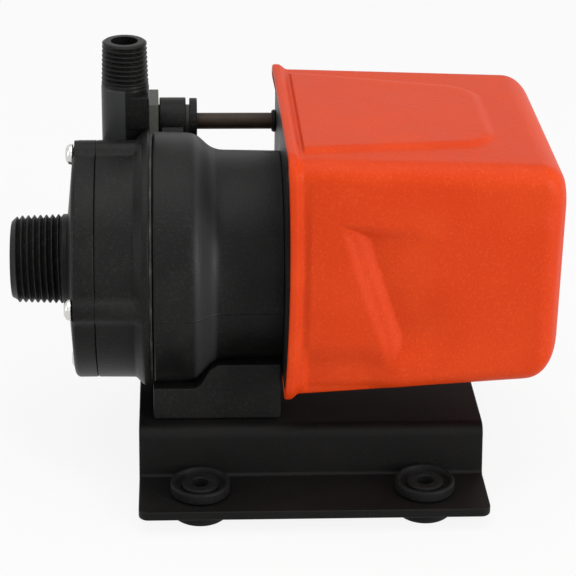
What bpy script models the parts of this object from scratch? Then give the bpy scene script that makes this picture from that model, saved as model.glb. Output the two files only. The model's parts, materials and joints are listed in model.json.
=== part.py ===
"""Magnetic drive pump with a moulded motor cover, on a hat-section base with rubber feet.

Metres, +Z up. The shaft runs along X: the inlet points to -X and the outlet to +Z.
Stations are distances along the shaft from the inlet's tip, and heights are measured from the shaft.
Every object's origin lies on the shaft's axis line or on its own piece's centre line.
"""
import math

import bmesh
import bpy
from mathutils import Matrix, Vector

for old in list(bpy.data.objects):
    bpy.data.objects.remove(old, do_unlink=True)

# Facets round a full turn
WIDE = 28
BROAD = 20
MIDDLE = 16
ROUND = 14
NARROW = 12
FINE = 6

# Clearances
GAP = 0.0003            # between pieces that touch on the real pump
RUNNING_GAP = 0.0005    # between pieces that turn past each other

# Inlet spigot, with the outside of a 3/4 inch taper thread
INLET_LENGTH = 0.0171
INLET_BORE_RADIUS = 0.0090
INLET_TIP_RADIUS = 0.0130
INLET_ROOT_RADIUS = 0.0136
INLET_CHAMFER = 0.0010

# Outlet spigot, with the outside of a 1/4 inch taper thread
OUTLET_SETBACK = 0.00856
OUTLET_OFFSET = 0.0160
OUTLET_HEIGHT = 0.0638
OUTLET_BORE_RADIUS = 0.00405
OUTLET_TIP_RADIUS = 0.00655
OUTLET_ROOT_RADIUS = 0.00685
OUTLET_THREAD_LENGTH = 0.0135
OUTLET_NECK_RADIUS = 0.0069
OUTLET_CHAMFER = 0.0008
OUTLET_ROOT = 0.0160
OUTLET_PAD_REACH = 0.0072
OUTLET_PAD_HALF_WIDTH = 0.0071
OUTLET_PAD_FOOT = 0.0382
OUTLET_PAD_TOP = 0.0438

# Pump head
HEAD_RADIUS = 0.03585
FACE_RISE = 0.0021
FACE_EDGE = 0.0009
SUCTION_COVER_DEPTH = 0.0086
SUCTION_COVER_WALL = 0.0040
REGISTER_RADIUS = 0.0305
REGISTER_DEPTH = 0.0026
VOLUTE_DEPTH = 0.0155
FLANGE_RADIUS = 0.03845
FLANGE_CHAMFER_START = 0.0113
FLANGE_CHAMFER_LENGTH = 0.0024
CHAMBER_RADIUS = 0.0262
CHAMBER_GROWTH = 0.0032
BOLT_CIRCLE = 0.0342
SCREW_PHASE = math.radians(1.5)
LOBE_RADIUS = 0.0048
LOBE_PROUD = 0.0002
SCREW_SEAT_DEPTH = 0.0004
SCREW_RADIUS = 0.0018
SCREW_HOLE_CLEARANCE = 0.0003
SCREW_HEAD_RADIUS = 0.00325
SCREW_HEAD_HEIGHT = 0.0023
SCREW_LENGTH = 0.0340

# Round seals in the head
SEAL_RADIUS = 0.0006
SEAL_GROOVE_DEPTH = 0.0016
SEAL_GROOVE_WIDTH = 0.0018
SEAL_GROOVE_SETBACK = 0.0006

# Containment shell
SHELL_LIP = 0.0007
SHELL_LIP_RADIUS = 0.0376
SHELL_PLUG = 0.0026
SHELL_INNER_RADIUS = 0.0175
SHELL_WALL = 0.0015
SHELL_LENGTH = 0.0245
SHELL_BOSS_RADIUS = 0.0058
SHELL_BOSS_LENGTH = 0.0030

# Impeller, its magnet and its bearing
SPINDLE_RADIUS = 0.0030
SPINDLE_SOCKET = 0.0055
SPIDER_RADIUS = 0.0045
SPIDER_ARM = 0.0020
SPIDER_LENGTH = 0.0075
IMPELLER_RADIUS = 0.0220
IMPELLER_EYE_RADIUS = 0.0086
IMPELLER_SHROUD = 0.0015
VANE_COUNT = 6
VANE_THICKNESS = 0.0016
VANE_SWEEP = 1.15
VANE_INSET = 0.0005
IMPELLER_WIDTH = 0.0088
WET_GAP = 0.0010
HUB_CUP_WALL = 0.0018
HUB_CUP_LENGTH = 0.0215
BUSHING_WALL = 0.0020
HUB_SLEEVE_WALL = 0.0012
HUB_FLARE = 0.0020
MAGNET_LENGTH = 0.0160
MAGNET_CAP_THICKNESS = 0.0018
THRUST_WASHER_RADIUS = 0.0062
THRUST_WASHER_THICKNESS = 0.0015

# Drive magnet cup
DRY_GAP = 0.0014
CUP_SETBACK = 0.0040
CUP_WALL = 0.0022
CUP_DEPTH = 0.0215
CUP_FLOOR = 0.0022
CUP_HUB_RADIUS = 0.0085
CUP_HUB_LENGTH = 0.0070
DRIVE_MAGNET_THICKNESS = 0.0036
DRIVE_MAGNET_LENGTH = 0.0190
SET_SCREW_RADIUS = 0.0015

# Motor bracket: drum, shoulder, neck, foot block and gland boss
DRUM_RADIUS = 0.03835
DRUM_LENGTH = 0.0125
DRUM_DRAFT = 0.0004
SHOULDER_LENGTH = 0.0070
NECK_WALL = 0.0035
NECK_LENGTH = 0.0184
DRUM_BORE_STEP = 0.0014
CUP_SPACE = 0.0025
BRACKET_WALL = 0.0034
SHAFT_OPENING_RADIUS = 0.0130
FOOT_SIDE_INSET = 0.0070
FOOT_SETBACK = 0.0012
FOOT_LOW_TOP = 0.0300
FOOT_HIGH_TOP = 0.0223
FOOT_EDGE = 0.0010
FOOT_RAMP_SETBACK = 0.0005
FOOT_RAMP_LENGTH = 0.0058
BRACKET_SCREW_INSET = 0.0045
BRACKET_SCREW_RADIUS = 0.0019
BRACKET_SCREW_HEAD = 0.0034

# Cable gland, its boss and the lead
GLAND_OFFSET = 0.0365
GLAND_RISE = 0.0307
GLAND_BOSS_RADIUS = 0.0074
GLAND_BOSS_LENGTH = 0.0082
GLAND_SEAT_DEPTH = 0.0014
GLAND_WEB_ROOT = 0.0030
GLAND_WEB_SETBACK = 0.0008
GLAND_STEM_RADIUS = 0.0052
GLAND_HEX_APOTHEM = 0.0086
GLAND_HEX_THICKNESS = 0.0029
GLAND_NUT_RADIUS = 0.0072
GLAND_NUT_THICKNESS = 0.0024
GLAND_NUT_SPACE = 0.0011
GLAND_EDGE = 0.0004
GLAND_MOUTH_DEPTH = 0.0060
GLAND_SEAL_RADIUS = 0.0043
LEAD_RADIUS = 0.00255
LEAD_TAIL = 0.0050
LEAD_SETBACK = 0.0008
BUSHING_LIP = 0.0010
BUSHING_LIP_RADIUS = 0.0037
BUSHING_BODY_RADIUS = 0.0032

# Base plate
BASE_TOP_DROP = 0.0406
BASE_HEIGHT = 0.0175
BASE_THICKNESS = 0.0028
BASE_SETBACK = 0.0047
BASE_LENGTH = 0.1032
BASE_HALF_WIDTH = 0.0575
BASE_FLANGE_WIDTH = 0.0213
BASE_WEB_LEAN = 0.0022
BASE_BEND_RADIUS = 0.0012
BASE_CORNER_RADIUS = 0.0028
FOOT_BOLT_RADIUS = 0.0023
FOOT_BOLT_HEAD_RADIUS = 0.0042
FOOT_BOLT_HEAD_HEIGHT = 0.0030
FOOT_BOLT_LENGTH = 0.0110
FOOT_BOLT_SIDE_INSET = 0.0070
FOOT_BOLT_INSET = 0.0065

# Rubber feet
FOOT_RADIUS = 0.0088
FOOT_WAIST_RADIUS = 0.0054
FOOT_BORE_RADIUS = 0.0027
FOOT_UPPER = 0.0034
FOOT_LOWER = 0.0042
FOOT_GROOVE_DEPTH = 0.0014
FOOT_BOSS_RADIUS = 0.0052
FOOT_LIP_WIDTH = 0.0014
FOOT_EDGE_WIDTH = 0.0007
FEET_FRONT_INSET = 0.0181
FEET_REAR_INSET = 0.0185
FEET_SIDE_INSET = 0.0119

# Motor cover
COVER_LENGTH = 0.0796
COVER_WALL = 0.0024
COVER_HALF_WIDTH = 0.0429
COVER_TOP_FRONT = 0.0473
COVER_TOP_REAR = 0.0449
COVER_BOTTOM_FRONT = 0.0269
COVER_BOTTOM_REAR = 0.0213
COVER_CORNER_RADIUS = 0.0058
COVER_END_RADIUS = 0.0072
COVER_BOTTOM_END_RADIUS = 0.0110
RIM_FLARE = 0.0015
RIM_WIDTH = 0.0034
RIM_STEP = 0.0007
RIM_EDGE = 0.0005
PANEL_RISE = 0.0012
PANEL_SETBACK = 0.0196
PANEL_HALF_WIDTH_FRONT = 0.0340
PANEL_HALF_WIDTH_REAR = 0.0235
PANEL_EDGE = 0.0040
COIL_BULGE = 0.0006
LEAF_SETBACK = 0.0143
LEAF_LEAN = 0.0153
LEAF_TOP_HEIGHT = 0.0295
LEAF_FOOT_HEIGHT = -0.0165
LEAF_WIDTH = 0.0080
LEAF_DEPTH = 0.0016
LEAF_RUN_OUT = 0.0240
COVER_BOSS_RADIUS = 0.0034
COVER_BOSS_LENGTH = 0.0110
COVER_SCREW_RADIUS = 0.0014
COVER_SCREW_HEAD_RADIUS = 0.0028
COVER_SCREW_EDGE = 0.0009
COVER_SCREW_SEAT_DEPTH = 0.0018

# Motor inside the cover
END_PLATE_THICKNESS = 0.0030
BEARING_BORE_RADIUS = 0.0040
BEARING_RADIUS = 0.0110
BEARING_WIDTH = 0.0070
BEARING_SHOULDER = 0.0020
BALL_RADIUS = 0.00198
BALL_COUNT = 7
CAGE_WIDTH = 0.0016
BEARING_BOSS_WALL = 0.0026
SHAFT_TAIL = 0.0040
SHAFT_END_SPACE = 0.0110
STATOR_FRONT_SPACE = 0.0095
STATOR_BACK_SPACE = 0.0115
STATOR_HALF_WIDTH = 0.0300
STATOR_BOTTOM = 0.0195
STATOR_YOKE_TOP = 0.0352
STATOR_YOKE = 0.0100
STATOR_BORE_RADIUS = 0.0153
STATOR_BRIDGE = 0.0022
STATOR_CORNER = 0.0030
STATOR_WINDOW_HALF_WIDTH = 0.0180
STATOR_WINDOW_CORNER = 0.0010
ROTOR_RING_LENGTH = 0.0040
ROTOR_RING_STEP = 0.0010
ROTOR_RING_CLEARANCE = 0.0040
COIL_THICKNESS = 0.0058
COIL_INSET = 0.0030
BOBBIN_WALL = 0.0010
SHADING_RING_WIDTH = 0.0016
SHADING_UPPER_DROP = 0.0030
SHADING_LOWER_DROP = 0.0120
REAR_PLATE_SETBACK = 0.0005
REAR_PLATE_THICKNESS = 0.0026
REAR_PLATE_EAR = 0.0055
REAR_PLATE_CORNER = 0.0050
REAR_BOSS_FLOOR = 0.0012
REAR_PLATE_HALF_HEIGHT = 0.0150
THROUGH_BOLT_OFFSET = 0.0245
THROUGH_BOLT_RADIUS = 0.0018
SPACER_RADIUS = 0.0036

# Stations, radii and heights that follow from the sizes above
FACE = INLET_LENGTH
COVER_JOINT = FACE + SUCTION_COVER_DEPTH
SCREW_SEAT = FACE + FACE_RISE + SCREW_SEAT_DEPTH
VOLUTE_START = COVER_JOINT + GAP
VOLUTE_END = VOLUTE_START + VOLUTE_DEPTH
OUTLET_STATION = VOLUTE_START + OUTLET_SETBACK
REGISTER_END = COVER_JOINT + REGISTER_DEPTH
LIP_START = VOLUTE_END + GAP
LIP_END = LIP_START + SHELL_LIP
SHELL_FACE = LIP_START - SHELL_PLUG
SHELL_END = LIP_END + SHELL_LENGTH
SHELL_FLOOR = SHELL_END - SHELL_WALL
DRUM_START = LIP_END + GAP
DRUM_END = DRUM_START + DRUM_LENGTH
NECK_START = DRUM_END + SHOULDER_LENGTH
NECK_END = NECK_START + NECK_LENGTH
BRACKET_FLOOR = NECK_END - BRACKET_WALL
RIM = NECK_END + GAP
PLATE_START = RIM
PLATE_END = PLATE_START + END_PLATE_THICKNESS
COVER_END = RIM + COVER_LENGTH
OVERALL_LENGTH = COVER_END
AXIS_HEIGHT = BASE_TOP_DROP + BASE_HEIGHT + FOOT_LOWER + GAP
SPIDER_END = REGISTER_END - RUNNING_GAP
HUB_CUP_RADIUS = SHELL_INNER_RADIUS - WET_GAP
BORE_RADIUS_IN_HUB = SPINDLE_RADIUS + GAP + BUSHING_WALL + GAP
FRONT_WASHER_START = SPIDER_END + GAP
BUSHING_START = FRONT_WASHER_START + THRUST_WASHER_THICKNESS + GAP
IMPELLER_START = REGISTER_END + RUNNING_GAP
IMPELLER_END = IMPELLER_START + IMPELLER_WIDTH
SHELL_BOSS_START = SHELL_FLOOR - SHELL_BOSS_LENGTH
REAR_WASHER_START = SHELL_BOSS_START - GAP - THRUST_WASHER_THICKNESS
HUB_END = IMPELLER_END + HUB_CUP_LENGTH
MAGNET_CAP_START = HUB_END - MAGNET_CAP_THICKNESS
MAGNET_START = MAGNET_CAP_START - GAP - MAGNET_LENGTH
DRIVE_MAGNET_INNER = SHELL_INNER_RADIUS + SHELL_WALL + DRY_GAP
DRIVE_MAGNET_OUTER = DRIVE_MAGNET_INNER + DRIVE_MAGNET_THICKNESS
CUP_RADIUS = DRIVE_MAGNET_OUTER + GAP + CUP_WALL
CUP_START = DRUM_START + CUP_SETBACK
CUP_FLOOR_START = CUP_START + CUP_DEPTH
CUP_END = CUP_FLOOR_START + CUP_FLOOR
HUB_SHAFT_END = CUP_END + CUP_HUB_LENGTH
NECK_BORE_RADIUS = CUP_RADIUS + CUP_SPACE
NECK_RADIUS = NECK_BORE_RADIUS + NECK_WALL
DRUM_BORE_RADIUS = NECK_BORE_RADIUS + DRUM_BORE_STEP
BRACKET_SCREW_CIRCLE = NECK_BORE_RADIUS - BRACKET_SCREW_INSET
BEARING_PITCH_RADIUS = (BEARING_BORE_RADIUS + BEARING_RADIUS) / 2
FRONT_BEARING = PLATE_START + BEARING_SHOULDER
SHAFT_END = COVER_END - SHAFT_END_SPACE
REAR_BEARING = SHAFT_END - SHAFT_TAIL - BEARING_WIDTH
REAR_PLATE_START = REAR_BEARING + REAR_PLATE_SETBACK
REAR_PLATE_END = REAR_PLATE_START + REAR_PLATE_THICKNESS
STATOR_START = FRONT_BEARING + BEARING_WIDTH + STATOR_FRONT_SPACE
STATOR_END = REAR_BEARING - STATOR_BACK_SPACE
STATOR_YOKE_BOTTOM = STATOR_YOKE_TOP - STATOR_YOKE
ROTOR_RADIUS = STATOR_BORE_RADIUS - RUNNING_GAP
COIL_HALF_LENGTH = STATOR_WINDOW_HALF_WIDTH - COIL_INSET
PANEL_LENGTH = COVER_LENGTH - PANEL_SETBACK
COVER_SCREW_INSET = COVER_SCREW_HEAD_RADIUS + GAP + COVER_SCREW_EDGE
COVER_SCREW_SEAT = PLATE_START + COVER_SCREW_SEAT_DEPTH
BASE_START = DRUM_START - BASE_SETBACK
BASE_FOOT_HALF_WIDTH = BASE_HALF_WIDTH - BASE_FLANGE_WIDTH
BASE_TOP_HALF_WIDTH = BASE_FOOT_HALF_WIDTH - BASE_WEB_LEAN
FEET_START = BASE_START + FEET_FRONT_INSET
FEET_SPAN = BASE_LENGTH - FEET_FRONT_INSET - FEET_REAR_INSET
FEET_OFFSET = BASE_HALF_WIDTH - FEET_SIDE_INSET
FOOT_HALF_WIDTH = BASE_TOP_HALF_WIDTH - FOOT_SIDE_INSET
FOOT_BOLT_OFFSET = FOOT_HALF_WIDTH - FOOT_BOLT_SIDE_INSET
FOOT_END = NECK_END - FOOT_SETBACK
GLAND_START = DRUM_START + GLAND_HEX_THICKNESS + GAP - GLAND_SEAT_DEPTH
GLAND_BOSS_END = GLAND_START + GLAND_BOSS_LENGTH
GLAND_NUT_START = GLAND_BOSS_END + GLAND_NUT_SPACE


def at(station=0.0, side=0.0, height=0.0):
    """World place of a station on the shaft, moved sideways (+Y) and up."""
    return Vector((station - OVERALL_LENGTH / 2, side, AXIS_HEIGHT + height))


def finish(name, colour, roughness, metallic=0.0):
    """A plain Principled finish."""
    made = bpy.data.materials.new(name)
    made.use_nodes = True
    shader = made.node_tree.nodes["Principled BSDF"]
    shader.inputs["Base Color"].default_value = (*colour, 1.0)
    shader.inputs["Roughness"].default_value = roughness
    shader.inputs["Metallic"].default_value = metallic
    return made


BLACK_PLASTIC = finish("black plastic", (0.018, 0.018, 0.017), 0.45)
BLACK_PAINT = finish("black paint", (0.018, 0.018, 0.017), 0.5)
PALE_PLASTIC = finish("pale plastic", (0.42, 0.40, 0.35), 0.5)
ORANGE_PLASTIC = finish("orange plastic", (0.72, 0.060, 0.014), 0.42)
GREY_PLASTIC = finish("grey plastic", (0.10, 0.10, 0.09), 0.5)
RUBBER = finish("rubber", (0.020, 0.020, 0.020), 0.7)
LEAD_SHEATH = finish("lead sheath", (0.035, 0.028, 0.022), 0.5)
STAINLESS = finish("stainless steel", (0.60, 0.60, 0.58), 0.25, 1.0)
STEEL = finish("steel", (0.45, 0.45, 0.46), 0.35, 1.0)
LAMINATION = finish("lamination steel", (0.20, 0.20, 0.21), 0.5, 1.0)
COPPER = finish("copper", (0.70, 0.28, 0.12), 0.35, 1.0)
ALUMINIUM = finish("cast aluminium", (0.55, 0.55, 0.56), 0.5, 1.0)
MAGNET = finish("ferrite", (0.05, 0.05, 0.055), 0.55)
CERAMIC = finish("ceramic", (0.80, 0.78, 0.72), 0.2)
CARBON = finish("carbon", (0.03, 0.03, 0.03), 0.4)


def put(name, mesh, surface, place, sharp=35):
    """Makes an object of a mesh, with its faces pointing out and its round faces smooth."""
    bmesh.ops.remove_doubles(mesh, verts=mesh.verts, dist=1e-6)
    bmesh.ops.recalc_face_normals(mesh, faces=mesh.faces)
    data = bpy.data.meshes.new(name)
    mesh.to_mesh(data)
    mesh.free()
    data.shade_smooth()
    data.set_sharp_from_angle(angle=math.radians(sharp))
    made = bpy.data.objects.new(name, data)
    made.location = place
    if surface:
        data.materials.append(surface)
    bpy.context.scene.collection.objects.link(made)
    return made


def change(target, tool, operation):
    """Adds a Boolean to target and keeps the tool as a guide."""
    tool.hide_render = True
    tool.display_type = "WIRE"
    step = target.modifiers.new(tool.name, "BOOLEAN")
    step.operation = operation
    step.object = tool
    step.solver = "EXACT"


def cut(target, tool):
    change(target, tool, "DIFFERENCE")


def join(target, tool):
    change(target, tool, "UNION")


def turned(mesh, profile, segments=WIDE, centre=(0.0, 0.0)):
    """Turns (station, radius) points about a line along X through centre (side, height)."""
    side, height = centre
    points = [mesh.verts.new((station, side, height + radius)) for station, radius in profile]
    ends = points[1:]
    if profile[0][1] > 0:
        ends = points[1:] + points[:1]
    edges = [mesh.edges.new(pair) for pair in zip(points, ends)]
    bmesh.ops.spin(mesh, geom=points + edges, cent=(0, side, height), axis=(1, 0, 0),
                   angle=math.tau, steps=segments, use_merge=True)


def turned_up(mesh, profile, segments, centre=(0.0, 0.0)):
    """Turns (height, radius) points about a line along Z through centre (station, side)."""
    station, side = centre
    points = [mesh.verts.new((station + radius, side, height)) for height, radius in profile]
    ends = points[1:]
    if profile[0][1] > 0:
        ends = points[1:] + points[:1]
    edges = [mesh.edges.new(pair) for pair in zip(points, ends)]
    bmesh.ops.spin(mesh, geom=points + edges, cent=(station, side, 0), axis=(0, 0, 1),
                   angle=math.tau, steps=segments, use_merge=True)


def turn_about_shaft(mesh, verts, angle):
    bmesh.ops.rotate(mesh, verts=verts, cent=(0, 0, 0), matrix=Matrix.Rotation(angle, 3, "X"))


def rod(start, end, radius):
    """Profile of a solid cylinder."""
    return [(start, 0.0), (start, radius), (end, radius), (end, 0.0)]


def tube(start, end, inner, outer):
    """Profile of a hollow cylinder."""
    return [(start, inner), (start, outer), (end, outer), (end, inner)]


def prism(mesh, loops, start, end, axis="X"):
    """Fills flat loops of (u, v) points, the first outside and the others holes, and extrudes them.

    The loops lie in (side, height) for axis X, (height, station) for Y and (station, side) for Z.
    """
    order = {"X": (0, 1, 2), "Y": (2, 0, 1), "Z": (1, 2, 0)}[axis]

    def place(along, u, v):
        values = (along, u, v)
        return tuple(values[index] for index in order)

    edges = []
    for loop in loops:
        ring = [mesh.verts.new(place(start, u, v)) for u, v in loop]
        edges += [mesh.edges.new(pair) for pair in zip(ring, ring[1:] + ring[:1])]
    filled = bmesh.ops.triangle_fill(mesh, use_beauty=True, edges=edges)
    faces = [item for item in filled["geom"] if isinstance(item, bmesh.types.BMFace)]
    grown = bmesh.ops.extrude_face_region(mesh, geom=faces)
    moved = [item for item in grown["geom"] if isinstance(item, bmesh.types.BMVert)]
    bmesh.ops.translate(mesh, vec=Vector(place(end - start, 0, 0)), verts=moved)


def circle(u, v, radius, steps=MIDDLE, turn=0.0):
    """Points on a circle, anticlockwise."""
    angles = [turn + math.tau * step / steps for step in range(steps)]
    return [(u + radius * math.cos(angle), v + radius * math.sin(angle)) for angle in angles]


def rounded(u0, u1, v0, v1, radius, steps=3):
    """A rectangle with round corners, anticlockwise from its right side's foot."""
    corners = ((u1 - radius, v0 + radius, -0.25), (u1 - radius, v1 - radius, 0.0),
               (u0 + radius, v1 - radius, 0.25), (u0 + radius, v0 + radius, 0.5))
    points = []
    for u, v, turn in corners:
        for step in range(steps + 1):
            angle = math.tau * (turn + 0.25 * step / steps)
            points.append((u + radius * math.cos(angle), v + radius * math.sin(angle)))
    return points


def box(u0, u1, v0, v1):
    return [(u0, v0), (u1, v0), (u1, v1), (u0, v1)]


def around(count, radius, turn=0.0):
    """(side, height) places spread evenly on a circle."""
    return circle(0.0, 0.0, radius, count, turn)


def blend(low, high, share):
    return low + (high - low) * share


def smooth(share):
    """Eases from 0 to 1."""
    share = min(max(share, 0.0), 1.0)
    return share * share * (3 - 2 * share)


SCREW_PLACES = around(4, BOLT_CIRCLE, SCREW_PHASE)


def screw_holes(name, start, end):
    """Cutter for the four screws that hold the head together."""
    mesh = bmesh.new()
    for place in SCREW_PLACES:
        turned(mesh, rod(start, end, SCREW_RADIUS + SCREW_HOLE_CLEARANCE), FINE, place)
    return put(name, mesh, None, at())


def screw_lobes(name, start, end):
    """Round lobes around the four screws."""
    mesh = bmesh.new()
    for place in SCREW_PLACES:
        turned(mesh, rod(start, end, LOBE_RADIUS), NARROW, place)
    return put(name, mesh, BLACK_PLASTIC, at())


def seal_groove(end):
    """Profile points of a seal's groove in a register, from its far side to its near side."""
    far = end - SEAL_GROOVE_SETBACK
    near = far - SEAL_GROOVE_WIDTH
    floor = REGISTER_RADIUS - SEAL_GROOVE_DEPTH
    return [(near, REGISTER_RADIUS), (near, floor), (far, floor), (far, REGISTER_RADIUS)]


def seal_ring(name, end):
    """Round rubber ring in the groove of a register that ends at end."""
    mesh = bmesh.new()
    station = end - SEAL_GROOVE_SETBACK - SEAL_GROOVE_WIDTH / 2
    radius = REGISTER_RADIUS - SEAL_RADIUS
    profile = [(station + SEAL_RADIUS * c, radius + SEAL_RADIUS * s) for c, s in circle(0, 0, 1, 5)]
    turned(mesh, profile, BROAD)
    return put(name, mesh, RUBBER, at(), 60)


def suction_cover():
    """Turned front housing with its spigot, spider and screw lobes."""
    cone_edge = FACE + FACE_RISE
    wall = SUCTION_COVER_WALL
    eye_boss = IMPELLER_EYE_RADIUS + wall
    mesh = bmesh.new()
    turned(mesh, [
        (0.0, INLET_BORE_RADIUS), (0.0, INLET_TIP_RADIUS - INLET_CHAMFER),
        (INLET_CHAMFER, INLET_TIP_RADIUS), (FACE, INLET_ROOT_RADIUS),
        (cone_edge, HEAD_RADIUS - FACE_EDGE), (cone_edge + FACE_EDGE, HEAD_RADIUS),
        (COVER_JOINT, HEAD_RADIUS), (COVER_JOINT, REGISTER_RADIUS),
        *seal_groove(REGISTER_END),
        (REGISTER_END, REGISTER_RADIUS), (REGISTER_END, CHAMBER_RADIUS),
        (FACE + FACE_RISE + wall, CHAMBER_RADIUS - wall / 2), (FACE + wall, eye_boss),
        (REGISTER_END, eye_boss), (REGISTER_END, INLET_BORE_RADIUS)])
    made = put("suction_cover", mesh, BLACK_PLASTIC, at())
    join(made, screw_lobes("suction_cover_lobes", cone_edge + LOBE_PROUD, COVER_JOINT - GAP))

    spider_start = SPIDER_END - SPIDER_LENGTH
    mesh = bmesh.new()
    turned(mesh, rod(spider_start, SPIDER_END, SPIDER_RADIUS), NARROW)
    hub = put("spider_hub", mesh, BLACK_PLASTIC, at())
    join(made, hub)
    for number in range(3):
        turn = math.tau * number / 3
        mesh = bmesh.new()
        reach = INLET_BORE_RADIUS + wall / 2
        prism(mesh, [box(-SPIDER_ARM / 2, SPIDER_ARM / 2, SPIDER_RADIUS / 2, reach)],
              spider_start + GAP, SPIDER_END - GAP)
        turn_about_shaft(mesh, mesh.verts, turn)
        join(made, put(f"spider_arm_{number}", mesh, BLACK_PLASTIC, at()))
    mesh = bmesh.new()
    turned(mesh, rod(SPIDER_END - SPINDLE_SOCKET, SPIDER_END + GAP, SPINDLE_RADIUS + GAP), NARROW)
    cut(made, put("spider_socket", mesh, None, at()))
    cut(made, screw_holes("suction_cover_holes", FACE, REGISTER_END + GAP))
    mesh = bmesh.new()
    for place in SCREW_PLACES:
        turned(mesh, rod(FACE - GAP, SCREW_SEAT, SCREW_HEAD_RADIUS + GAP), NARROW, place)
    cut(made, put("screw_seats", mesh, None, at()))
    return made


def fasteners(name, profile, places, surface, segments=FINE):
    """One turned screw along X at each (side, height) place."""
    for number, place in enumerate(places, start=1):
        mesh = bmesh.new()
        turned(mesh, profile, segments)
        put(f"{name}_{number}", mesh, surface, at(0.0, *place))


def housing_screws():
    """Pan-head screws from the front face into the bracket's drum."""
    seat = SCREW_SEAT
    front = seat - GAP - SCREW_HEAD_HEIGHT
    crown = SCREW_HEAD_HEIGHT * 0.45
    fasteners("housing_screw", [
        (front, 0.0), (front, SCREW_HEAD_RADIUS * 0.72), (front + crown, SCREW_HEAD_RADIUS),
        (seat - GAP, SCREW_HEAD_RADIUS), (seat - GAP, SCREW_RADIUS),
        (seat + SCREW_LENGTH, SCREW_RADIUS), (seat + SCREW_LENGTH, 0.0)], SCREW_PLACES, STAINLESS, NARROW)


def volute_outline(steps=WIDE):
    """Spiral chamber wall: its radius grows from the tongue, near the outlet, round to the outlet."""
    points = []
    for step in range(steps):
        share = step / (steps - 1)
        angle = math.radians(65) - math.tau * share
        radius = CHAMBER_RADIUS + CHAMBER_GROWTH * share
        points.append((radius * math.cos(angle), radius * math.sin(angle)))
    return points


def volute_body():
    """Middle casing with the outlet spigot and the chamfered rear flange."""
    chamfer_start = VOLUTE_START + FLANGE_CHAMFER_START
    chamfer_end = chamfer_start + FLANGE_CHAMFER_LENGTH
    recess = REGISTER_RADIUS + GAP
    mesh = bmesh.new()
    turned(mesh, [
        (VOLUTE_START, 0.0), (VOLUTE_START, HEAD_RADIUS), (chamfer_start, HEAD_RADIUS),
        (chamfer_end, FLANGE_RADIUS), (VOLUTE_END, FLANGE_RADIUS), (VOLUTE_END, 0.0)])
    made = put("volute_body", mesh, BLACK_PLASTIC, at())
    join(made, screw_lobes("volute_lobes", VOLUTE_START + GAP, chamfer_end))

    thread_foot = OUTLET_HEIGHT - OUTLET_THREAD_LENGTH
    mesh = bmesh.new()
    turned_up(mesh, [
        (OUTLET_HEIGHT, 0.0), (OUTLET_HEIGHT, OUTLET_TIP_RADIUS - OUTLET_CHAMFER),
        (OUTLET_HEIGHT - OUTLET_CHAMFER, OUTLET_TIP_RADIUS), (thread_foot, OUTLET_ROOT_RADIUS),
        (thread_foot - OUTLET_CHAMFER, OUTLET_NECK_RADIUS), (OUTLET_ROOT, OUTLET_NECK_RADIUS),
        (OUTLET_ROOT, 0.0)], MIDDLE, (OUTLET_STATION, OUTLET_OFFSET))
    join(made, put("outlet_spigot", mesh, BLACK_PLASTIC, at()))
    mesh = bmesh.new()
    pad = box(OUTLET_STATION, OUTLET_STATION + OUTLET_PAD_REACH,
              OUTLET_OFFSET - OUTLET_PAD_HALF_WIDTH, OUTLET_OFFSET + OUTLET_PAD_HALF_WIDTH)
    prism(mesh, [pad], OUTLET_PAD_FOOT, OUTLET_PAD_TOP, "Z")
    join(made, put("outlet_pad", mesh, BLACK_PLASTIC, at()))

    mesh = bmesh.new()
    prism(mesh, [volute_outline()], REGISTER_END, SHELL_FACE)
    cut(made, put("volute_chamber", mesh, None, at()))
    mesh = bmesh.new()
    turned(mesh, rod(SHELL_FACE - GAP, VOLUTE_END + GAP, recess))
    cut(made, put("shell_recess", mesh, None, at()))
    mesh = bmesh.new()
    turned(mesh, rod(VOLUTE_START - GAP, REGISTER_END + GAP, recess))
    cut(made, put("register_recess", mesh, None, at()))
    mesh = bmesh.new()
    turned_up(mesh, [
        (OUTLET_HEIGHT + GAP, 0.0), (OUTLET_HEIGHT + GAP, OUTLET_BORE_RADIUS),
        (OUTLET_ROOT / 2, OUTLET_BORE_RADIUS), (OUTLET_ROOT / 2, 0.0)],
        MIDDLE, (OUTLET_STATION, OUTLET_OFFSET))
    cut(made, put("outlet_bore", mesh, None, at()))
    cut(made, screw_holes("volute_holes", VOLUTE_START - GAP, VOLUTE_END + GAP))
    return made


def vane_outline(turn, steps=3):
    """A backward-curved vane between the eye and the impeller's rim."""
    inner, outer = IMPELLER_EYE_RADIUS + VANE_INSET, IMPELLER_RADIUS - VANE_INSET
    pressure, suction = [], []
    for step in range(steps + 1):
        share = step / steps
        radius = blend(inner, outer, share)
        angle = turn - VANE_SWEEP * share
        half = VANE_THICKNESS / 2 / radius
        pressure.append((radius * math.cos(angle + half), radius * math.sin(angle + half)))
        suction.append((radius * math.cos(angle - half), radius * math.sin(angle - half)))
    return pressure + suction[::-1]


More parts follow.
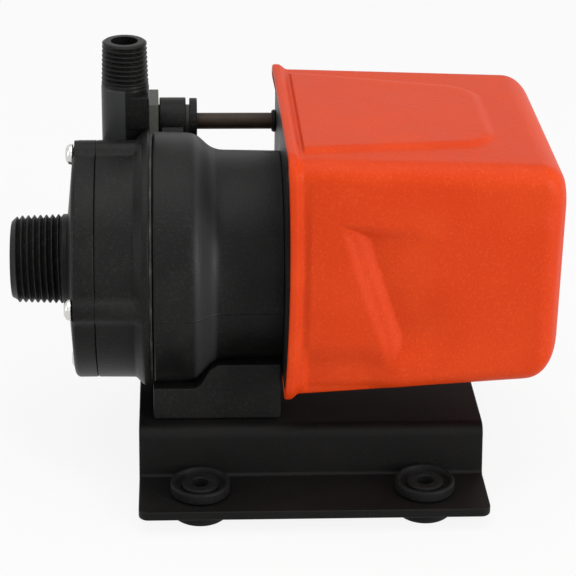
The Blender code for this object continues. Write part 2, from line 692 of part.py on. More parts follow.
def impeller():
    """Closed impeller with the magnet cup on its back."""
    back = IMPELLER_END - IMPELLER_SHROUD
    sleeve = BORE_RADIUS_IN_HUB + HUB_SLEEVE_WALL
    cup_inner = HUB_CUP_RADIUS - HUB_CUP_WALL
    cup_floor = MAGNET_START - GAP
    mesh = bmesh.new()
    turned(mesh, [
        (BUSHING_START, BORE_RADIUS_IN_HUB), (BUSHING_START, sleeve - HUB_SLEEVE_WALL / 2),
        (back - HUB_FLARE, sleeve), (back, IMPELLER_EYE_RADIUS + HUB_FLARE / 2), (back, IMPELLER_RADIUS),
        (IMPELLER_END, IMPELLER_RADIUS), (IMPELLER_END + GAP, HUB_CUP_RADIUS), (HUB_END, HUB_CUP_RADIUS),
        (HUB_END, cup_inner), (cup_floor, cup_inner), (cup_floor, sleeve), (HUB_END, sleeve),
        (HUB_END, BORE_RADIUS_IN_HUB)], MIDDLE)
    made = put("impeller", mesh, BLACK_PLASTIC, at())
    mesh = bmesh.new()
    for number in range(VANE_COUNT):
        outline = vane_outline(math.tau * number / VANE_COUNT)
        prism(mesh, [outline], IMPELLER_START + IMPELLER_SHROUD / 2, back + IMPELLER_SHROUD / 2)
    join(made, put("impeller_vanes", mesh, BLACK_PLASTIC, at()))
    mesh = bmesh.new()
    turned(mesh, [
        (IMPELLER_START, IMPELLER_EYE_RADIUS), (IMPELLER_START, IMPELLER_RADIUS),
        (IMPELLER_START + IMPELLER_SHROUD, IMPELLER_RADIUS),
        (IMPELLER_START + IMPELLER_SHROUD, IMPELLER_EYE_RADIUS)], MIDDLE)
    join(made, put("impeller_shroud", mesh, BLACK_PLASTIC, at()))
    return made


def wet_rotor_pieces():
    """Magnet ring, its cap and the bushing, all inside the impeller's hub."""
    sleeve = BORE_RADIUS_IN_HUB + HUB_SLEEVE_WALL
    inner, outer = sleeve + GAP, HUB_CUP_RADIUS - HUB_CUP_WALL - GAP
    mesh = bmesh.new()
    turned(mesh, tube(MAGNET_START, MAGNET_START + MAGNET_LENGTH, inner, outer), ROUND)
    put("inner_magnet", mesh, MAGNET, at())
    mesh = bmesh.new()
    turned(mesh, tube(MAGNET_CAP_START, HUB_END, inner, outer), ROUND)
    put("magnet_cap", mesh, BLACK_PLASTIC, at())
    mesh = bmesh.new()
    bushing_end = REAR_WASHER_START - GAP
    turned(mesh, tube(BUSHING_START, bushing_end, SPINDLE_RADIUS + GAP, BORE_RADIUS_IN_HUB - GAP), NARROW)
    put("impeller_bushing", mesh, CARBON, at())


def thrust_washer(name, start):
    mesh = bmesh.new()
    end = start + THRUST_WASHER_THICKNESS
    turned(mesh, tube(start, end, SPINDLE_RADIUS + GAP, THRUST_WASHER_RADIUS), NARROW)
    return put(name, mesh, CERAMIC, at())


def spindle():
    """Fixed spindle, held in the spider in front and in the shell behind."""
    mesh = bmesh.new()
    turned(mesh, rod(SPIDER_END - SPINDLE_SOCKET + GAP, SHELL_FLOOR - GAP, SPINDLE_RADIUS), NARROW)
    return put("spindle", mesh, CERAMIC, at())


def rear_housing():
    """Containment shell: flange with a register, thin can and the spindle's rear socket."""
    can_outer = SHELL_INNER_RADIUS + SHELL_WALL
    socket = SPINDLE_RADIUS + GAP
    mesh = bmesh.new()
    turned(mesh, [
        (SHELL_FLOOR, 0.0), (SHELL_FLOOR, socket), (SHELL_BOSS_START, socket),
        (SHELL_BOSS_START, SHELL_BOSS_RADIUS), (SHELL_FLOOR, SHELL_BOSS_RADIUS),
        (SHELL_FLOOR, SHELL_INNER_RADIUS), (SHELL_FACE, SHELL_INNER_RADIUS), (SHELL_FACE, REGISTER_RADIUS),
        *seal_groove(LIP_START),
        (LIP_START, REGISTER_RADIUS), (LIP_START, SHELL_LIP_RADIUS), (LIP_END, SHELL_LIP_RADIUS),
        (LIP_END, can_outer), (SHELL_FLOOR, can_outer), (SHELL_END, SHELL_INNER_RADIUS),
        (SHELL_END, 0.0)], BROAD)
    made = put("rear_housing", mesh, PALE_PLASTIC, at())
    cut(made, screw_holes("rear_housing_holes", LIP_START - GAP, LIP_END + GAP))
    return made


def drive_magnet_cup():
    """Steel cup on the motor shaft that carries the drive magnets."""
    bore = BEARING_BORE_RADIUS + GAP
    inner = CUP_RADIUS - CUP_WALL
    mesh = bmesh.new()
    turned(mesh, [
        (CUP_START, inner), (CUP_START, CUP_RADIUS), (CUP_END, CUP_RADIUS), (CUP_END, CUP_HUB_RADIUS),
        (HUB_SHAFT_END, CUP_HUB_RADIUS), (HUB_SHAFT_END, bore), (CUP_FLOOR_START, bore),
        (CUP_FLOOR_START, inner)], BROAD)
    made = put("drive_magnet_cup", mesh, STEEL, at())
    mesh = bmesh.new()
    station = (CUP_END + HUB_SHAFT_END) / 2
    turned_up(mesh, [(0.0, 0.0), (0.0, SET_SCREW_RADIUS + GAP), (CUP_RADIUS, SET_SCREW_RADIUS + GAP),
                     (CUP_RADIUS, 0.0)], FINE, (station, 0.0))
    cut(made, put("set_screw_hole", mesh, None, at()))
    return made


def drive_magnet_ring():
    """Multipole ring magnet bonded inside the cup."""
    mesh = bmesh.new()
    end = CUP_START + GAP + DRIVE_MAGNET_LENGTH
    turned(mesh, tube(CUP_START + GAP, end, DRIVE_MAGNET_INNER, DRIVE_MAGNET_OUTER), BROAD)
    return put("drive_magnet_ring", mesh, MAGNET, at())


def hub_set_screw():
    """Set screw that locks the cup to the shaft."""
    mesh = bmesh.new()
    station = (CUP_END + HUB_SHAFT_END) / 2
    foot = BEARING_BORE_RADIUS + GAP
    turned_up(mesh, [(foot, 0.0), (foot, SET_SCREW_RADIUS), (CUP_HUB_RADIUS, SET_SCREW_RADIUS),
                     (CUP_HUB_RADIUS, 0.0)], FINE, (station, 0.0))
    return put("hub_set_screw", mesh, STEEL, at())


BRACKET_SCREW_PLACES = around(4, BRACKET_SCREW_CIRCLE, math.tau / 8)
FOOT_BOLT_STATIONS = (DRUM_START + FOOT_BOLT_INSET, FOOT_END - FOOT_BOLT_INSET)
FOOT_BOLT_PLACES = [(station, side * FOOT_BOLT_OFFSET) for station in FOOT_BOLT_STATIONS for side in (-1, 1)]


def motor_bracket():
    """Drum, shoulder and neck in one turned casting, with its foot block and gland boss."""
    drum_edge = NECK_RADIUS + (DRUM_RADIUS - NECK_RADIUS) * 0.75
    mesh = bmesh.new()
    turned(mesh, [
        (DRUM_START, 0.0), (DRUM_START, DRUM_RADIUS), (DRUM_END, DRUM_RADIUS - DRUM_DRAFT),
        (DRUM_END + SHOULDER_LENGTH * 0.24, drum_edge),
        (DRUM_END + SHOULDER_LENGTH * 0.78, NECK_RADIUS + DRUM_DRAFT), (NECK_START, NECK_RADIUS),
        (NECK_END, NECK_RADIUS), (NECK_END, 0.0)])
    made = put("motor_bracket", mesh, BLACK_PLASTIC, at())

    bottom = -BASE_TOP_DROP + GAP
    ramp_start = DRUM_END + FOOT_RAMP_SETBACK
    ramp = [(-blend(FOOT_HIGH_TOP, FOOT_LOW_TOP, drop), ramp_start + FOOT_RAMP_LENGTH * along)
            for drop, along in ((0.0, 1.0), (0.18, 0.62), (0.82, 0.17), (1.0, -0.17))]
    mesh = bmesh.new()
    side_view = [(bottom, DRUM_START), (bottom, FOOT_END), (-FOOT_HIGH_TOP - FOOT_EDGE, FOOT_END),
                 (-FOOT_HIGH_TOP, FOOT_END - FOOT_EDGE), *ramp, (-FOOT_LOW_TOP, DRUM_START)]
    prism(mesh, [side_view], -FOOT_HALF_WIDTH, FOOT_HALF_WIDTH, "Y")
    join(made, put("foot_block", mesh, BLACK_PLASTIC, at()))

    mesh = bmesh.new()
    centre = (GLAND_OFFSET, GLAND_RISE)
    turned(mesh, rod(GLAND_START, GLAND_BOSS_END, GLAND_BOSS_RADIUS), MIDDLE, centre)
    join(made, put("gland_boss", mesh, BLACK_PLASTIC, at()))
    reach = math.hypot(*centre)
    web = GLAND_BOSS_RADIUS * 0.7
    mesh = bmesh.new()
    prism(mesh, [box(DRUM_RADIUS - GLAND_WEB_ROOT, reach, -web, web)],
          GLAND_START + GLAND_WEB_SETBACK, GLAND_BOSS_END - GLAND_WEB_SETBACK)
    turn_about_shaft(mesh, mesh.verts, math.atan2(GLAND_RISE, GLAND_OFFSET))
    join(made, put("gland_web", mesh, BLACK_PLASTIC, at()))

    mesh = bmesh.new()
    turned(mesh, [
        (DRUM_START - GAP, 0.0), (DRUM_START - GAP, DRUM_BORE_RADIUS), (DRUM_END, DRUM_BORE_RADIUS),
        (NECK_START, NECK_BORE_RADIUS), (BRACKET_FLOOR, NECK_BORE_RADIUS),
        (BRACKET_FLOOR, SHAFT_OPENING_RADIUS), (NECK_END + GAP, SHAFT_OPENING_RADIUS),
        (NECK_END + GAP, 0.0)], BROAD)
    cut(made, put("bracket_bore", mesh, None, at()))
    mesh = bmesh.new()
    turned(mesh, rod(GLAND_START - GAP, GLAND_BOSS_END + GAP, GLAND_STEM_RADIUS + GAP), NARROW, centre)
    cut(made, put("gland_bore", mesh, None, at()))
    cut(made, screw_holes("bracket_holes", DRUM_START - GAP, SCREW_SEAT + SCREW_LENGTH + GAP))
    mesh = bmesh.new()
    for place in BRACKET_SCREW_PLACES:
        turned(mesh, rod(BRACKET_FLOOR - GAP, NECK_END + GAP, BRACKET_SCREW_RADIUS + GAP), FINE, place)
    cut(made, put("bracket_screw_holes", mesh, None, at()))
    mesh = bmesh.new()
    for place in FOOT_BOLT_PLACES:
        top = bottom + FOOT_BOLT_LENGTH - BASE_THICKNESS
        turned_up(mesh, rod(bottom - GAP, top, FOOT_BOLT_RADIUS + GAP), FINE, place)
    cut(made, put("foot_bolt_holes", mesh, None, at()))
    return made


def bracket_screws():
    """Socket screws from inside the bracket into the motor's end plate."""
    seat = BRACKET_FLOOR - GAP
    head = seat - BRACKET_SCREW_RADIUS * 1.5
    end = PLATE_END - GAP
    fasteners("bracket_screw", [
        (head, 0.0), (head, BRACKET_SCREW_HEAD), (seat, BRACKET_SCREW_HEAD),
        (seat, BRACKET_SCREW_RADIUS), (end, BRACKET_SCREW_RADIUS), (end, 0.0)], BRACKET_SCREW_PLACES, STEEL)


def foot_bolts():
    """Bolts from under the base plate into the foot block."""
    seat = -BASE_TOP_DROP - BASE_THICKNESS - GAP
    for number, place in enumerate(FOOT_BOLT_PLACES, start=1):
        mesh = bmesh.new()
        turned_up(mesh, [
            (seat - FOOT_BOLT_HEAD_HEIGHT, 0.0), (seat - FOOT_BOLT_HEAD_HEIGHT, FOOT_BOLT_HEAD_RADIUS),
            (seat, FOOT_BOLT_HEAD_RADIUS), (seat, FOOT_BOLT_RADIUS),
            (seat + FOOT_BOLT_LENGTH, FOOT_BOLT_RADIUS), (seat + FOOT_BOLT_LENGTH, 0.0)], FINE)
        put(f"foot_bolt_{number}", mesh, STAINLESS, at(*place))


FEET = [(FEET_START + step * FEET_SPAN, side * FEET_OFFSET) for side in (-1, 1) for step in (0, 1)]


def bend(u, v, radius, start, end, steps=3):
    """An arc of a bent sheet's outline, angles in quarter turns."""
    points = []
    for step in range(steps + 1):
        angle = math.pi / 2 * blend(start, end, step / steps)
        points.append((u + radius * math.cos(angle), v + radius * math.sin(angle)))
    return points


def base_plate():
    """Sheet bent to a hat section, with round corners, holes for the feet and for the foot bolts."""
    top = -BASE_TOP_DROP
    flange_top = top - BASE_HEIGHT + BASE_THICKNESS
    flange = flange_top - BASE_THICKNESS
    inner = BASE_BEND_RADIUS
    outer = inner + BASE_THICKNESS
    half = []
    half += bend(BASE_TOP_HALF_WIDTH - outer, top - outer, outer, 1, 0)
    half += bend(BASE_FOOT_HALF_WIDTH + inner, flange_top + inner, inner, 2, 3)
    half += [(BASE_HALF_WIDTH, flange_top), (BASE_HALF_WIDTH, flange)]
    half += bend(BASE_FOOT_HALF_WIDTH + inner, flange + outer, outer, 3, 2)
    half += bend(BASE_TOP_HALF_WIDTH - outer, top - outer, inner, 0, 1)
    outline = half + [(-side, height) for side, height in half[::-1]]
    mesh = bmesh.new()
    prism(mesh, [outline], BASE_START, BASE_START + BASE_LENGTH)
    corners = [edge for edge in mesh.edges
               if all(abs(abs(vert.co.y) - BASE_HALF_WIDTH) < 1e-6 for vert in edge.verts)
               and abs(edge.verts[0].co.x - edge.verts[1].co.x) < 1e-6]
    bmesh.ops.bevel(mesh, geom=corners, offset=BASE_CORNER_RADIUS, segments=3, affect="EDGES", profile=0.5)
    made = put("base_plate", mesh, BLACK_PAINT, at())
    mesh = bmesh.new()
    for place in FEET:
        turned_up(mesh, rod(flange - GAP, flange_top + GAP, FOOT_WAIST_RADIUS + GAP), ROUND, place)
    for place in FOOT_BOLT_PLACES:
        turned_up(mesh, rod(top - BASE_THICKNESS - GAP, top + GAP, FOOT_BOLT_RADIUS + GAP), FINE, place)
    cut(made, put("base_holes", mesh, None, at()))
    return made


def rubber_foot(number, place):
    """Grommet in the base plate's flange: grooved upper disc, waist and lower disc."""
    flange = -BASE_TOP_DROP - BASE_HEIGHT
    flange_top = flange + BASE_THICKNESS
    top = flange_top + GAP + FOOT_UPPER
    bottom = flange - GAP - FOOT_LOWER
    edge = FOOT_EDGE_WIDTH
    groove = top - FOOT_GROOVE_DEPTH
    mesh = bmesh.new()
    turned_up(mesh, [
        (bottom, FOOT_BORE_RADIUS), (top, FOOT_BORE_RADIUS), (top, FOOT_BOSS_RADIUS - edge),
        (groove, FOOT_BOSS_RADIUS), (top, FOOT_RADIUS - FOOT_LIP_WIDTH), (top - edge, FOOT_RADIUS),
        (flange_top + GAP, FOOT_RADIUS), (flange_top + GAP, FOOT_WAIST_RADIUS),
        (flange - GAP, FOOT_WAIST_RADIUS), (flange - GAP, FOOT_RADIUS),
        (bottom, FOOT_RADIUS - edge)], NARROW)
    return put(f"rubber_foot_{number}", mesh, RUBBER, at(*place))


def cover_size(station, wall=0.0):
    """Half width, top, bottom and corner radius of the cover at a station, less a wall."""
    share = (station - RIM) / COVER_LENGTH
    end = COVER_END - wall
    width = COVER_HALF_WIDTH - wall
    top = blend(COVER_TOP_FRONT, COVER_TOP_REAR, share) - wall
    bottom = -blend(COVER_BOTTOM_FRONT, COVER_BOTTOM_REAR, share) + wall

    def shrink(radius):
        inside = max(0.0, station - (end - radius))
        return radius - math.sqrt(max(0.0, radius ** 2 - inside ** 2))

    less = shrink(COVER_END_RADIUS - wall)
    bottom += shrink(COVER_BOTTOM_END_RADIUS - wall)
    return width - less, top - less, bottom, COVER_CORNER_RADIUS - wall


def panel_share(station, side):
    """1 on the raised top panel, 0 off it, eased over its sloping edge."""
    along = (station - RIM) / PANEL_LENGTH
    half = blend(PANEL_HALF_WIDTH_FRONT, PANEL_HALF_WIDTH_REAR, min(along, 1.0))
    across = smooth((half + PANEL_EDGE / 2 - abs(side)) / PANEL_EDGE)
    return across * smooth((RIM + PANEL_LENGTH - station) / PANEL_EDGE + 0.5)


def side_relief(station, height):
    """How far the side stands out: a low bulge, then a leaf that slants in to a crease and a slow run-out."""
    share = min(max((LEAF_TOP_HEIGHT - height) / (LEAF_TOP_HEIGHT - LEAF_FOOT_HEIGHT), 0.0), 1.0)
    line = RIM + LEAF_SETBACK + LEAF_LEAN * share ** 1.15
    width = LEAF_WIDTH * math.sin(math.pi / 2 * min(1.0, share * 5, (1 - share) * 4))
    off = station - line
    down = min(max(off / max(width, GAP), 0.0), 1.0)
    back = min(max((off - width) / LEAF_RUN_OUT, 0.0), 1.0)
    bulge = COIL_BULGE * smooth((station - RIM - RIM_WIDTH) / LEAF_SETBACK)
    crease = (COIL_BULGE + LEAF_DEPTH) * down * (1 - back) ** 1.5 * width / LEAF_WIDTH
    return bulge * (1 - smooth(off / LEAF_RUN_OUT)) - crease * math.sqrt(width / LEAF_WIDTH)


def cover_loop(station, width, top, bottom, radius, relief, across=6, up=8, corner=2):
    """One section of the cover as a closed ring of (side, height) points, in order."""
    ring = []
    corners = ((width - radius, bottom + radius, -1), (width - radius, top - radius, 0),
               (-width + radius, top - radius, 1), (-width + radius, bottom + radius, 2))
    for number, (u, v, quarter) in enumerate(corners):
        arc = bend(u, v, radius, quarter, quarter + 1, corner)
        ring += arc
        after = corners[(number + 1) % 4]
        first = bend(after[0], after[1], radius, after[2], after[2] + 1, corner)[0]
        steps = across if number % 2 else up
        ring += [(blend(arc[-1][0], first[0], k / steps), blend(arc[-1][1], first[1], k / steps))
                 for k in range(1, steps)]
    if not relief:
        return ring
    shaped = []
    for side, height in ring:
        if height > top - radius * 0.3:
            height += PANEL_RISE * panel_share(station, side)
        on_side = smooth((abs(side) - width + radius * 0.7) / (radius * 0.5))
        side += side_relief(station, height) * on_side * math.copysign(1, side)
        shaped.append((side, height))
    return shaped


def bridge(mesh, rings):
    """Joins rings of points to a skin."""
    rows = [[mesh.verts.new(point) for point in ring] for ring in rings]
    for row, after in zip(rows, rows[1:]):
        for a, b, c, d in zip(row, row[1:] + row[:1], after[1:] + after[:1], after):
            mesh.faces.new((a, b, c, d))
    return rows


def plate_limits():
    """Half width, top and bottom of the end plate, inside the cover's rim."""
    less = COVER_WALL + GAP - RIM_FLARE
    return COVER_HALF_WIDTH - less, COVER_TOP_FRONT - less - GAP, -COVER_BOTTOM_FRONT + less + GAP


def cover_screw_places():
    width, top, bottom = plate_limits()
    side = width - COVER_SCREW_INSET
    return [(-side, top - COVER_SCREW_INSET), (side, top - COVER_SCREW_INSET),
            (side, bottom + COVER_SCREW_INSET), (-side, bottom + COVER_SCREW_INSET)]


COVER_SCREW_PLACES = cover_screw_places()


def motor_cover():
    """Moulded cover: flared rim, tapered walls, raised top panel, coil bulges and a closed round end."""
    def ring(station, wall, flare=0.0, relief=False):
        width, top, bottom, radius = cover_size(station, wall)
        points = cover_loop(station, width + flare, top + flare, bottom - flare, radius + flare, relief)
        return [(station, side, height) for side, height in points]

    bead_end = RIM + RIM_WIDTH
    body_start = bead_end + RIM_STEP
    outer = [ring(RIM, 0.0, RIM_FLARE - RIM_EDGE), ring(RIM + RIM_EDGE, 0.0, RIM_FLARE),
             ring(bead_end, 0.0, RIM_FLARE), ring(body_start, 0.0)]
    straight = COVER_END - COVER_BOTTOM_END_RADIUS
    shares = (0.09, 0.17, 0.24, 0.31, 0.38, 0.45, 0.52, 0.60, 0.72, 0.86, 1.0)
    outer += [ring(blend(body_start, straight, share), 0.0, 0.0, True) for share in shares]
    outer += [ring(COVER_END - COVER_END_RADIUS * (1 - math.sin(math.radians(angle))), 0.0)
              for angle in (5, 35, 65, 90)]
    ledge = PLATE_END + GAP
    inner = [ring(RIM, COVER_WALL, RIM_FLARE), ring(ledge, COVER_WALL, RIM_FLARE), ring(ledge, COVER_WALL)]
    inner_end = COVER_END - COVER_WALL
    inner += [ring(inner_end - COVER_BOTTOM_END_RADIUS, COVER_WALL)]
    inner_radius = COVER_END_RADIUS - COVER_WALL
    inner += [ring(inner_end - inner_radius * (1 - math.sin(math.radians(angle))), COVER_WALL)
              for angle in (0, 45, 90)]
    mesh = bmesh.new()
    outside = bridge(mesh, outer)
    inside = bridge(mesh, inner)
    mesh.faces.new(outside[-1])
    mesh.faces.new(inside[-1])
    for a, b, c, d in zip(outside[0], outside[0][1:] + outside[0][:1],
                          inside[0][1:] + inside[0][:1], inside[0]):
        mesh.faces.new((a, b, c, d))
    made = put("motor_cover", mesh, ORANGE_PLASTIC, at(), 40)
    mesh = bmesh.new()
    for place in COVER_SCREW_PLACES:
        turned(mesh, rod(ledge, ledge + COVER_BOSS_LENGTH, COVER_BOSS_RADIUS), NARROW, place)
    join(made, put("cover_bosses", mesh, ORANGE_PLASTIC, at()))
    mesh = bmesh.new()
    for place in COVER_SCREW_PLACES:
        turned(mesh, rod(ledge - GAP, ledge + COVER_BOSS_LENGTH * 0.8, COVER_SCREW_RADIUS + GAP), FINE, place)
    cut(made, put("cover_boss_holes", mesh, None, at()))
    return made


def cover_screws():
    """Small screws, sunk flush in the end plate, into the cover's bosses."""
    seat = COVER_SCREW_SEAT - GAP
    head = seat - COVER_SCREW_RADIUS
    end = PLATE_END + COVER_BOSS_LENGTH * 0.7
    fasteners("cover_screw", [
        (head, 0.0), (head, COVER_SCREW_HEAD_RADIUS * 0.7), (blend(head, seat, 0.5), COVER_SCREW_HEAD_RADIUS),
        (seat, COVER_SCREW_HEAD_RADIUS), (seat, COVER_SCREW_RADIUS), (end, COVER_SCREW_RADIUS),
        (end, 0.0)], COVER_SCREW_PLACES, STAINLESS, NARROW)


def motor_end_plate():
    """Flat plate inside the cover's rim, with the front bearing's boss."""
    width, top, bottom = plate_limits()
    mesh = bmesh.new()
    corner = COVER_CORNER_RADIUS + RIM_FLARE - COVER_WALL - GAP
    prism(mesh, [rounded(-width, width, bottom, top, corner)], PLATE_START, PLATE_END)
    made = put("motor_end_plate", mesh, BLACK_PLASTIC, at())
    mesh = bmesh.new()
    root = PLATE_START + END_PLATE_THICKNESS / 3
    seat_end = FRONT_BEARING + BEARING_WIDTH
    turned(mesh, rod(root, seat_end, BEARING_RADIUS + BEARING_BOSS_WALL), ROUND)
    for place in THROUGH_BOLT_PLACES:
        turned(mesh, rod(root, STATOR_START - GAP, SPACER_RADIUS), FINE, place)
    join(made, put("end_plate_bosses", mesh, BLACK_PLASTIC, at()))
    mesh = bmesh.new()
    turned(mesh, rod(FRONT_BEARING - GAP, seat_end + GAP, BEARING_RADIUS + GAP), ROUND)
    cut(made, put("front_bearing_seat", mesh, None, at()))
    mesh = bmesh.new()
    turned(mesh, rod(PLATE_START - GAP, FRONT_BEARING + GAP, BEARING_PITCH_RADIUS), ROUND)
    cut(made, put("front_shaft_hole", mesh, None, at()))
    mesh = bmesh.new()
    for place in BRACKET_SCREW_PLACES:
        turned(mesh, rod(PLATE_START - GAP, PLATE_END + GAP, BRACKET_SCREW_RADIUS + GAP), FINE, place)
    for place in COVER_SCREW_PLACES:
        turned(mesh, [
            (PLATE_START - GAP, 0.0), (PLATE_START - GAP, COVER_SCREW_HEAD_RADIUS + GAP),
            (COVER_SCREW_SEAT, COVER_SCREW_HEAD_RADIUS + GAP), (COVER_SCREW_SEAT, COVER_SCREW_RADIUS + GAP),
            (PLATE_END + GAP, COVER_SCREW_RADIUS + GAP), (PLATE_END + GAP, 0.0)], NARROW, place)
    for place in THROUGH_BOLT_PLACES:
        turned(mesh, rod(PLATE_START - GAP, STATOR_START, THROUGH_BOLT_RADIUS + GAP), FINE, place)
    turned(mesh, rod(PLATE_START - GAP, PLATE_END + GAP, BUSHING_BODY_RADIUS + GAP), NARROW,
           (GLAND_OFFSET, GLAND_RISE))
    cut(made, put("end_plate_holes", mesh, None, at()))
    return made


THROUGH_BOLT_PLACES = [(-THROUGH_BOLT_OFFSET, 0.0), (THROUGH_BOLT_OFFSET, 0.0)]


def motor_shaft():
    """Shaft from the cup's hub to behind the rear bearing."""
    mesh = bmesh.new()
    turned(mesh, rod(CUP_FLOOR_START + GAP, SHAFT_END, BEARING_BORE_RADIUS), NARROW)
    return put("motor_shaft", mesh, STEEL, at())


def rotor_core():
    """Rotor stack between two cast end rings."""
    ring = ROTOR_RADIUS - ROTOR_RING_STEP
    bore = BEARING_BORE_RADIUS + GAP
    ring_bore = bore + ROTOR_RING_CLEARANCE
    mesh = bmesh.new()
    turned(mesh, [
        (STATOR_START - ROTOR_RING_LENGTH, ring_bore), (STATOR_START - ROTOR_RING_LENGTH, ring),
        (STATOR_START, ring), (STATOR_START, ROTOR_RADIUS), (STATOR_END, ROTOR_RADIUS),
        (STATOR_END, ring), (STATOR_END + ROTOR_RING_LENGTH, ring),
        (STATOR_END + ROTOR_RING_LENGTH, ring_bore), (STATOR_END, ring_bore),
        (STATOR_END, bore), (STATOR_START, bore), (STATOR_START, ring_bore)], ROUND)
    return put("rotor_core", mesh, LAMINATION, at())


def stator_core():
    """C-frame stack: two legs around the rotor and a yoke that carries the coil."""
    window = rounded(-STATOR_WINDOW_HALF_WIDTH, STATOR_WINDOW_HALF_WIDTH,
                     STATOR_BORE_RADIUS + STATOR_BRIDGE, STATOR_YOKE_BOTTOM, STATOR_WINDOW_CORNER, 2)
    outline = rounded(-STATOR_HALF_WIDTH, STATOR_HALF_WIDTH, -STATOR_BOTTOM, STATOR_YOKE_TOP, STATOR_CORNER)
    holes = [circle(side, height, THROUGH_BOLT_RADIUS + GAP, FINE) for side, height in THROUGH_BOLT_PLACES]
    for side in (-1, 1):
        for leg in shading_legs(side):
            holes.append(circle(leg.x, leg.y, SHADING_RING_WIDTH / math.sqrt(2) + GAP, FINE))
    mesh = bmesh.new()
    prism(mesh, [outline, circle(0, 0, STATOR_BORE_RADIUS, BROAD), window, *holes], STATOR_START, STATOR_END)
    return put("stator_core", mesh, LAMINATION, at())


def coil_ring(mesh, inner_gap, outer_gap, start, end):
    """A rectangular ring around the stator's yoke, from start to end along Y."""
    def frame(gap):
        return box(STATOR_YOKE_BOTTOM - gap, STATOR_YOKE_TOP + gap, STATOR_START - gap, STATOR_END + gap)
    prism(mesh, [frame(outer_gap), frame(inner_gap)], start, end, "Y")


def coil_and_bobbin():
    """Moulded bobbin on the yoke and the winding between its flanges."""
    wall = GAP + BOBBIN_WALL
    flange = wall + COIL_THICKNESS
    mesh = bmesh.new()
    coil_ring(mesh, GAP, wall, -COIL_HALF_LENGTH, COIL_HALF_LENGTH)
    made = put("coil_bobbin", mesh, PALE_PLASTIC, at())
    for side in (-1, 1):
        mesh = bmesh.new()
        near, far = COIL_HALF_LENGTH - BOBBIN_WALL, COIL_HALF_LENGTH + BOBBIN_WALL / 2
        coil_ring(mesh, GAP + BOBBIN_WALL / 2, flange, *sorted((side * near, side * far)))
        name = "bobbin_flange_near" if side < 0 else "bobbin_flange_far"
        join(made, put(name, mesh, PALE_PLASTIC, at()))
    mesh = bmesh.new()
    half = COIL_HALF_LENGTH - BOBBIN_WALL - GAP
    coil_ring(mesh, wall + GAP, flange - GAP, -half, half)
    put("stator_winding", mesh, COPPER, at())


def shading_legs(side):
    """Where a shading ring's two legs pass through the stack on one side, and the way between them."""
    start = Vector((side * (STATOR_BORE_RADIUS + STATOR_BRIDGE), -SHADING_UPPER_DROP))
    end = Vector((side * (STATOR_BORE_RADIUS - STATOR_BRIDGE), -SHADING_LOWER_DROP))
    return start, end


def shading_rings():
    """Copper loop through the stack on each side of the rotor, round the shaded part of each pole."""
    half = SHADING_RING_WIDTH / 2
    for side, name in ((-1, "near_shading_ring"), (1, "far_shading_ring")):
        mesh = bmesh.new()
        start, end = shading_legs(side)
        way = end - start
        outer = box(STATOR_START - GAP - 2 * half, STATOR_END + GAP + 2 * half, -half, way.length + half)
        inner = box(STATOR_START - GAP, STATOR_END + GAP, half, way.length - half)
        prism(mesh, [outer, inner], -half, half, "Z")
        turn_about_shaft(mesh, mesh.verts, math.atan2(way.y, way.x))
        put(name, mesh, COPPER, at(0.0, *start))


def rear_bearing_bracket():
    """Strap behind the stack that holds the rear bearing."""
    end = REAR_BEARING + BEARING_WIDTH
    reach = THROUGH_BOLT_OFFSET + REAR_PLATE_EAR
    mesh = bmesh.new()
    outline = rounded(-reach, reach, -REAR_PLATE_HALF_HEIGHT, REAR_PLATE_HALF_HEIGHT, REAR_PLATE_CORNER)
    prism(mesh, [outline], REAR_PLATE_START, REAR_PLATE_END)
    made = put("rear_bearing_bracket", mesh, ALUMINIUM, at())
    mesh = bmesh.new()
    inside_plate = blend(REAR_PLATE_START, REAR_PLATE_END, 0.3)
    turned(mesh, rod(inside_plate, end + REAR_BOSS_FLOOR, BEARING_RADIUS + BEARING_BOSS_WALL), ROUND)
    for place in THROUGH_BOLT_PLACES:
        turned(mesh, rod(STATOR_END + GAP, inside_plate, SPACER_RADIUS), FINE, place)
    join(made, put("rear_bracket_bosses", mesh, ALUMINIUM, at()))
    mesh = bmesh.new()
    turned(mesh, rod(REAR_BEARING - GAP, end + GAP, BEARING_RADIUS + GAP), ROUND)
    cut(made, put("rear_bearing_seat", mesh, None, at()))
    mesh = bmesh.new()
    turned(mesh, rod(end, end + 2 * REAR_BOSS_FLOOR, BEARING_PITCH_RADIUS), ROUND)
    cut(made, put("rear_shaft_hole", mesh, None, at()))
    mesh = bmesh.new()
    for place in THROUGH_BOLT_PLACES:
        turned(mesh, rod(STATOR_END, end, THROUGH_BOLT_RADIUS + GAP), FINE, place)
    cut(made, put("rear_bracket_holes", mesh, None, at()))
    return made


def through_bolts():
    """Two long bolts from the rear bracket through the stack into the end plate."""
    back = REAR_PLATE_END + GAP
    head_radius, head_end = THROUGH_BOLT_RADIUS * 1.8, back + THROUGH_BOLT_RADIUS * 1.2
    start = PLATE_START + GAP
    fasteners("through_bolt", [
        (start, 0.0), (start, THROUGH_BOLT_RADIUS), (back, THROUGH_BOLT_RADIUS), (back, head_radius),
        (head_end, head_radius), (head_end, 0.0)], THROUGH_BOLT_PLACES, STEEL)


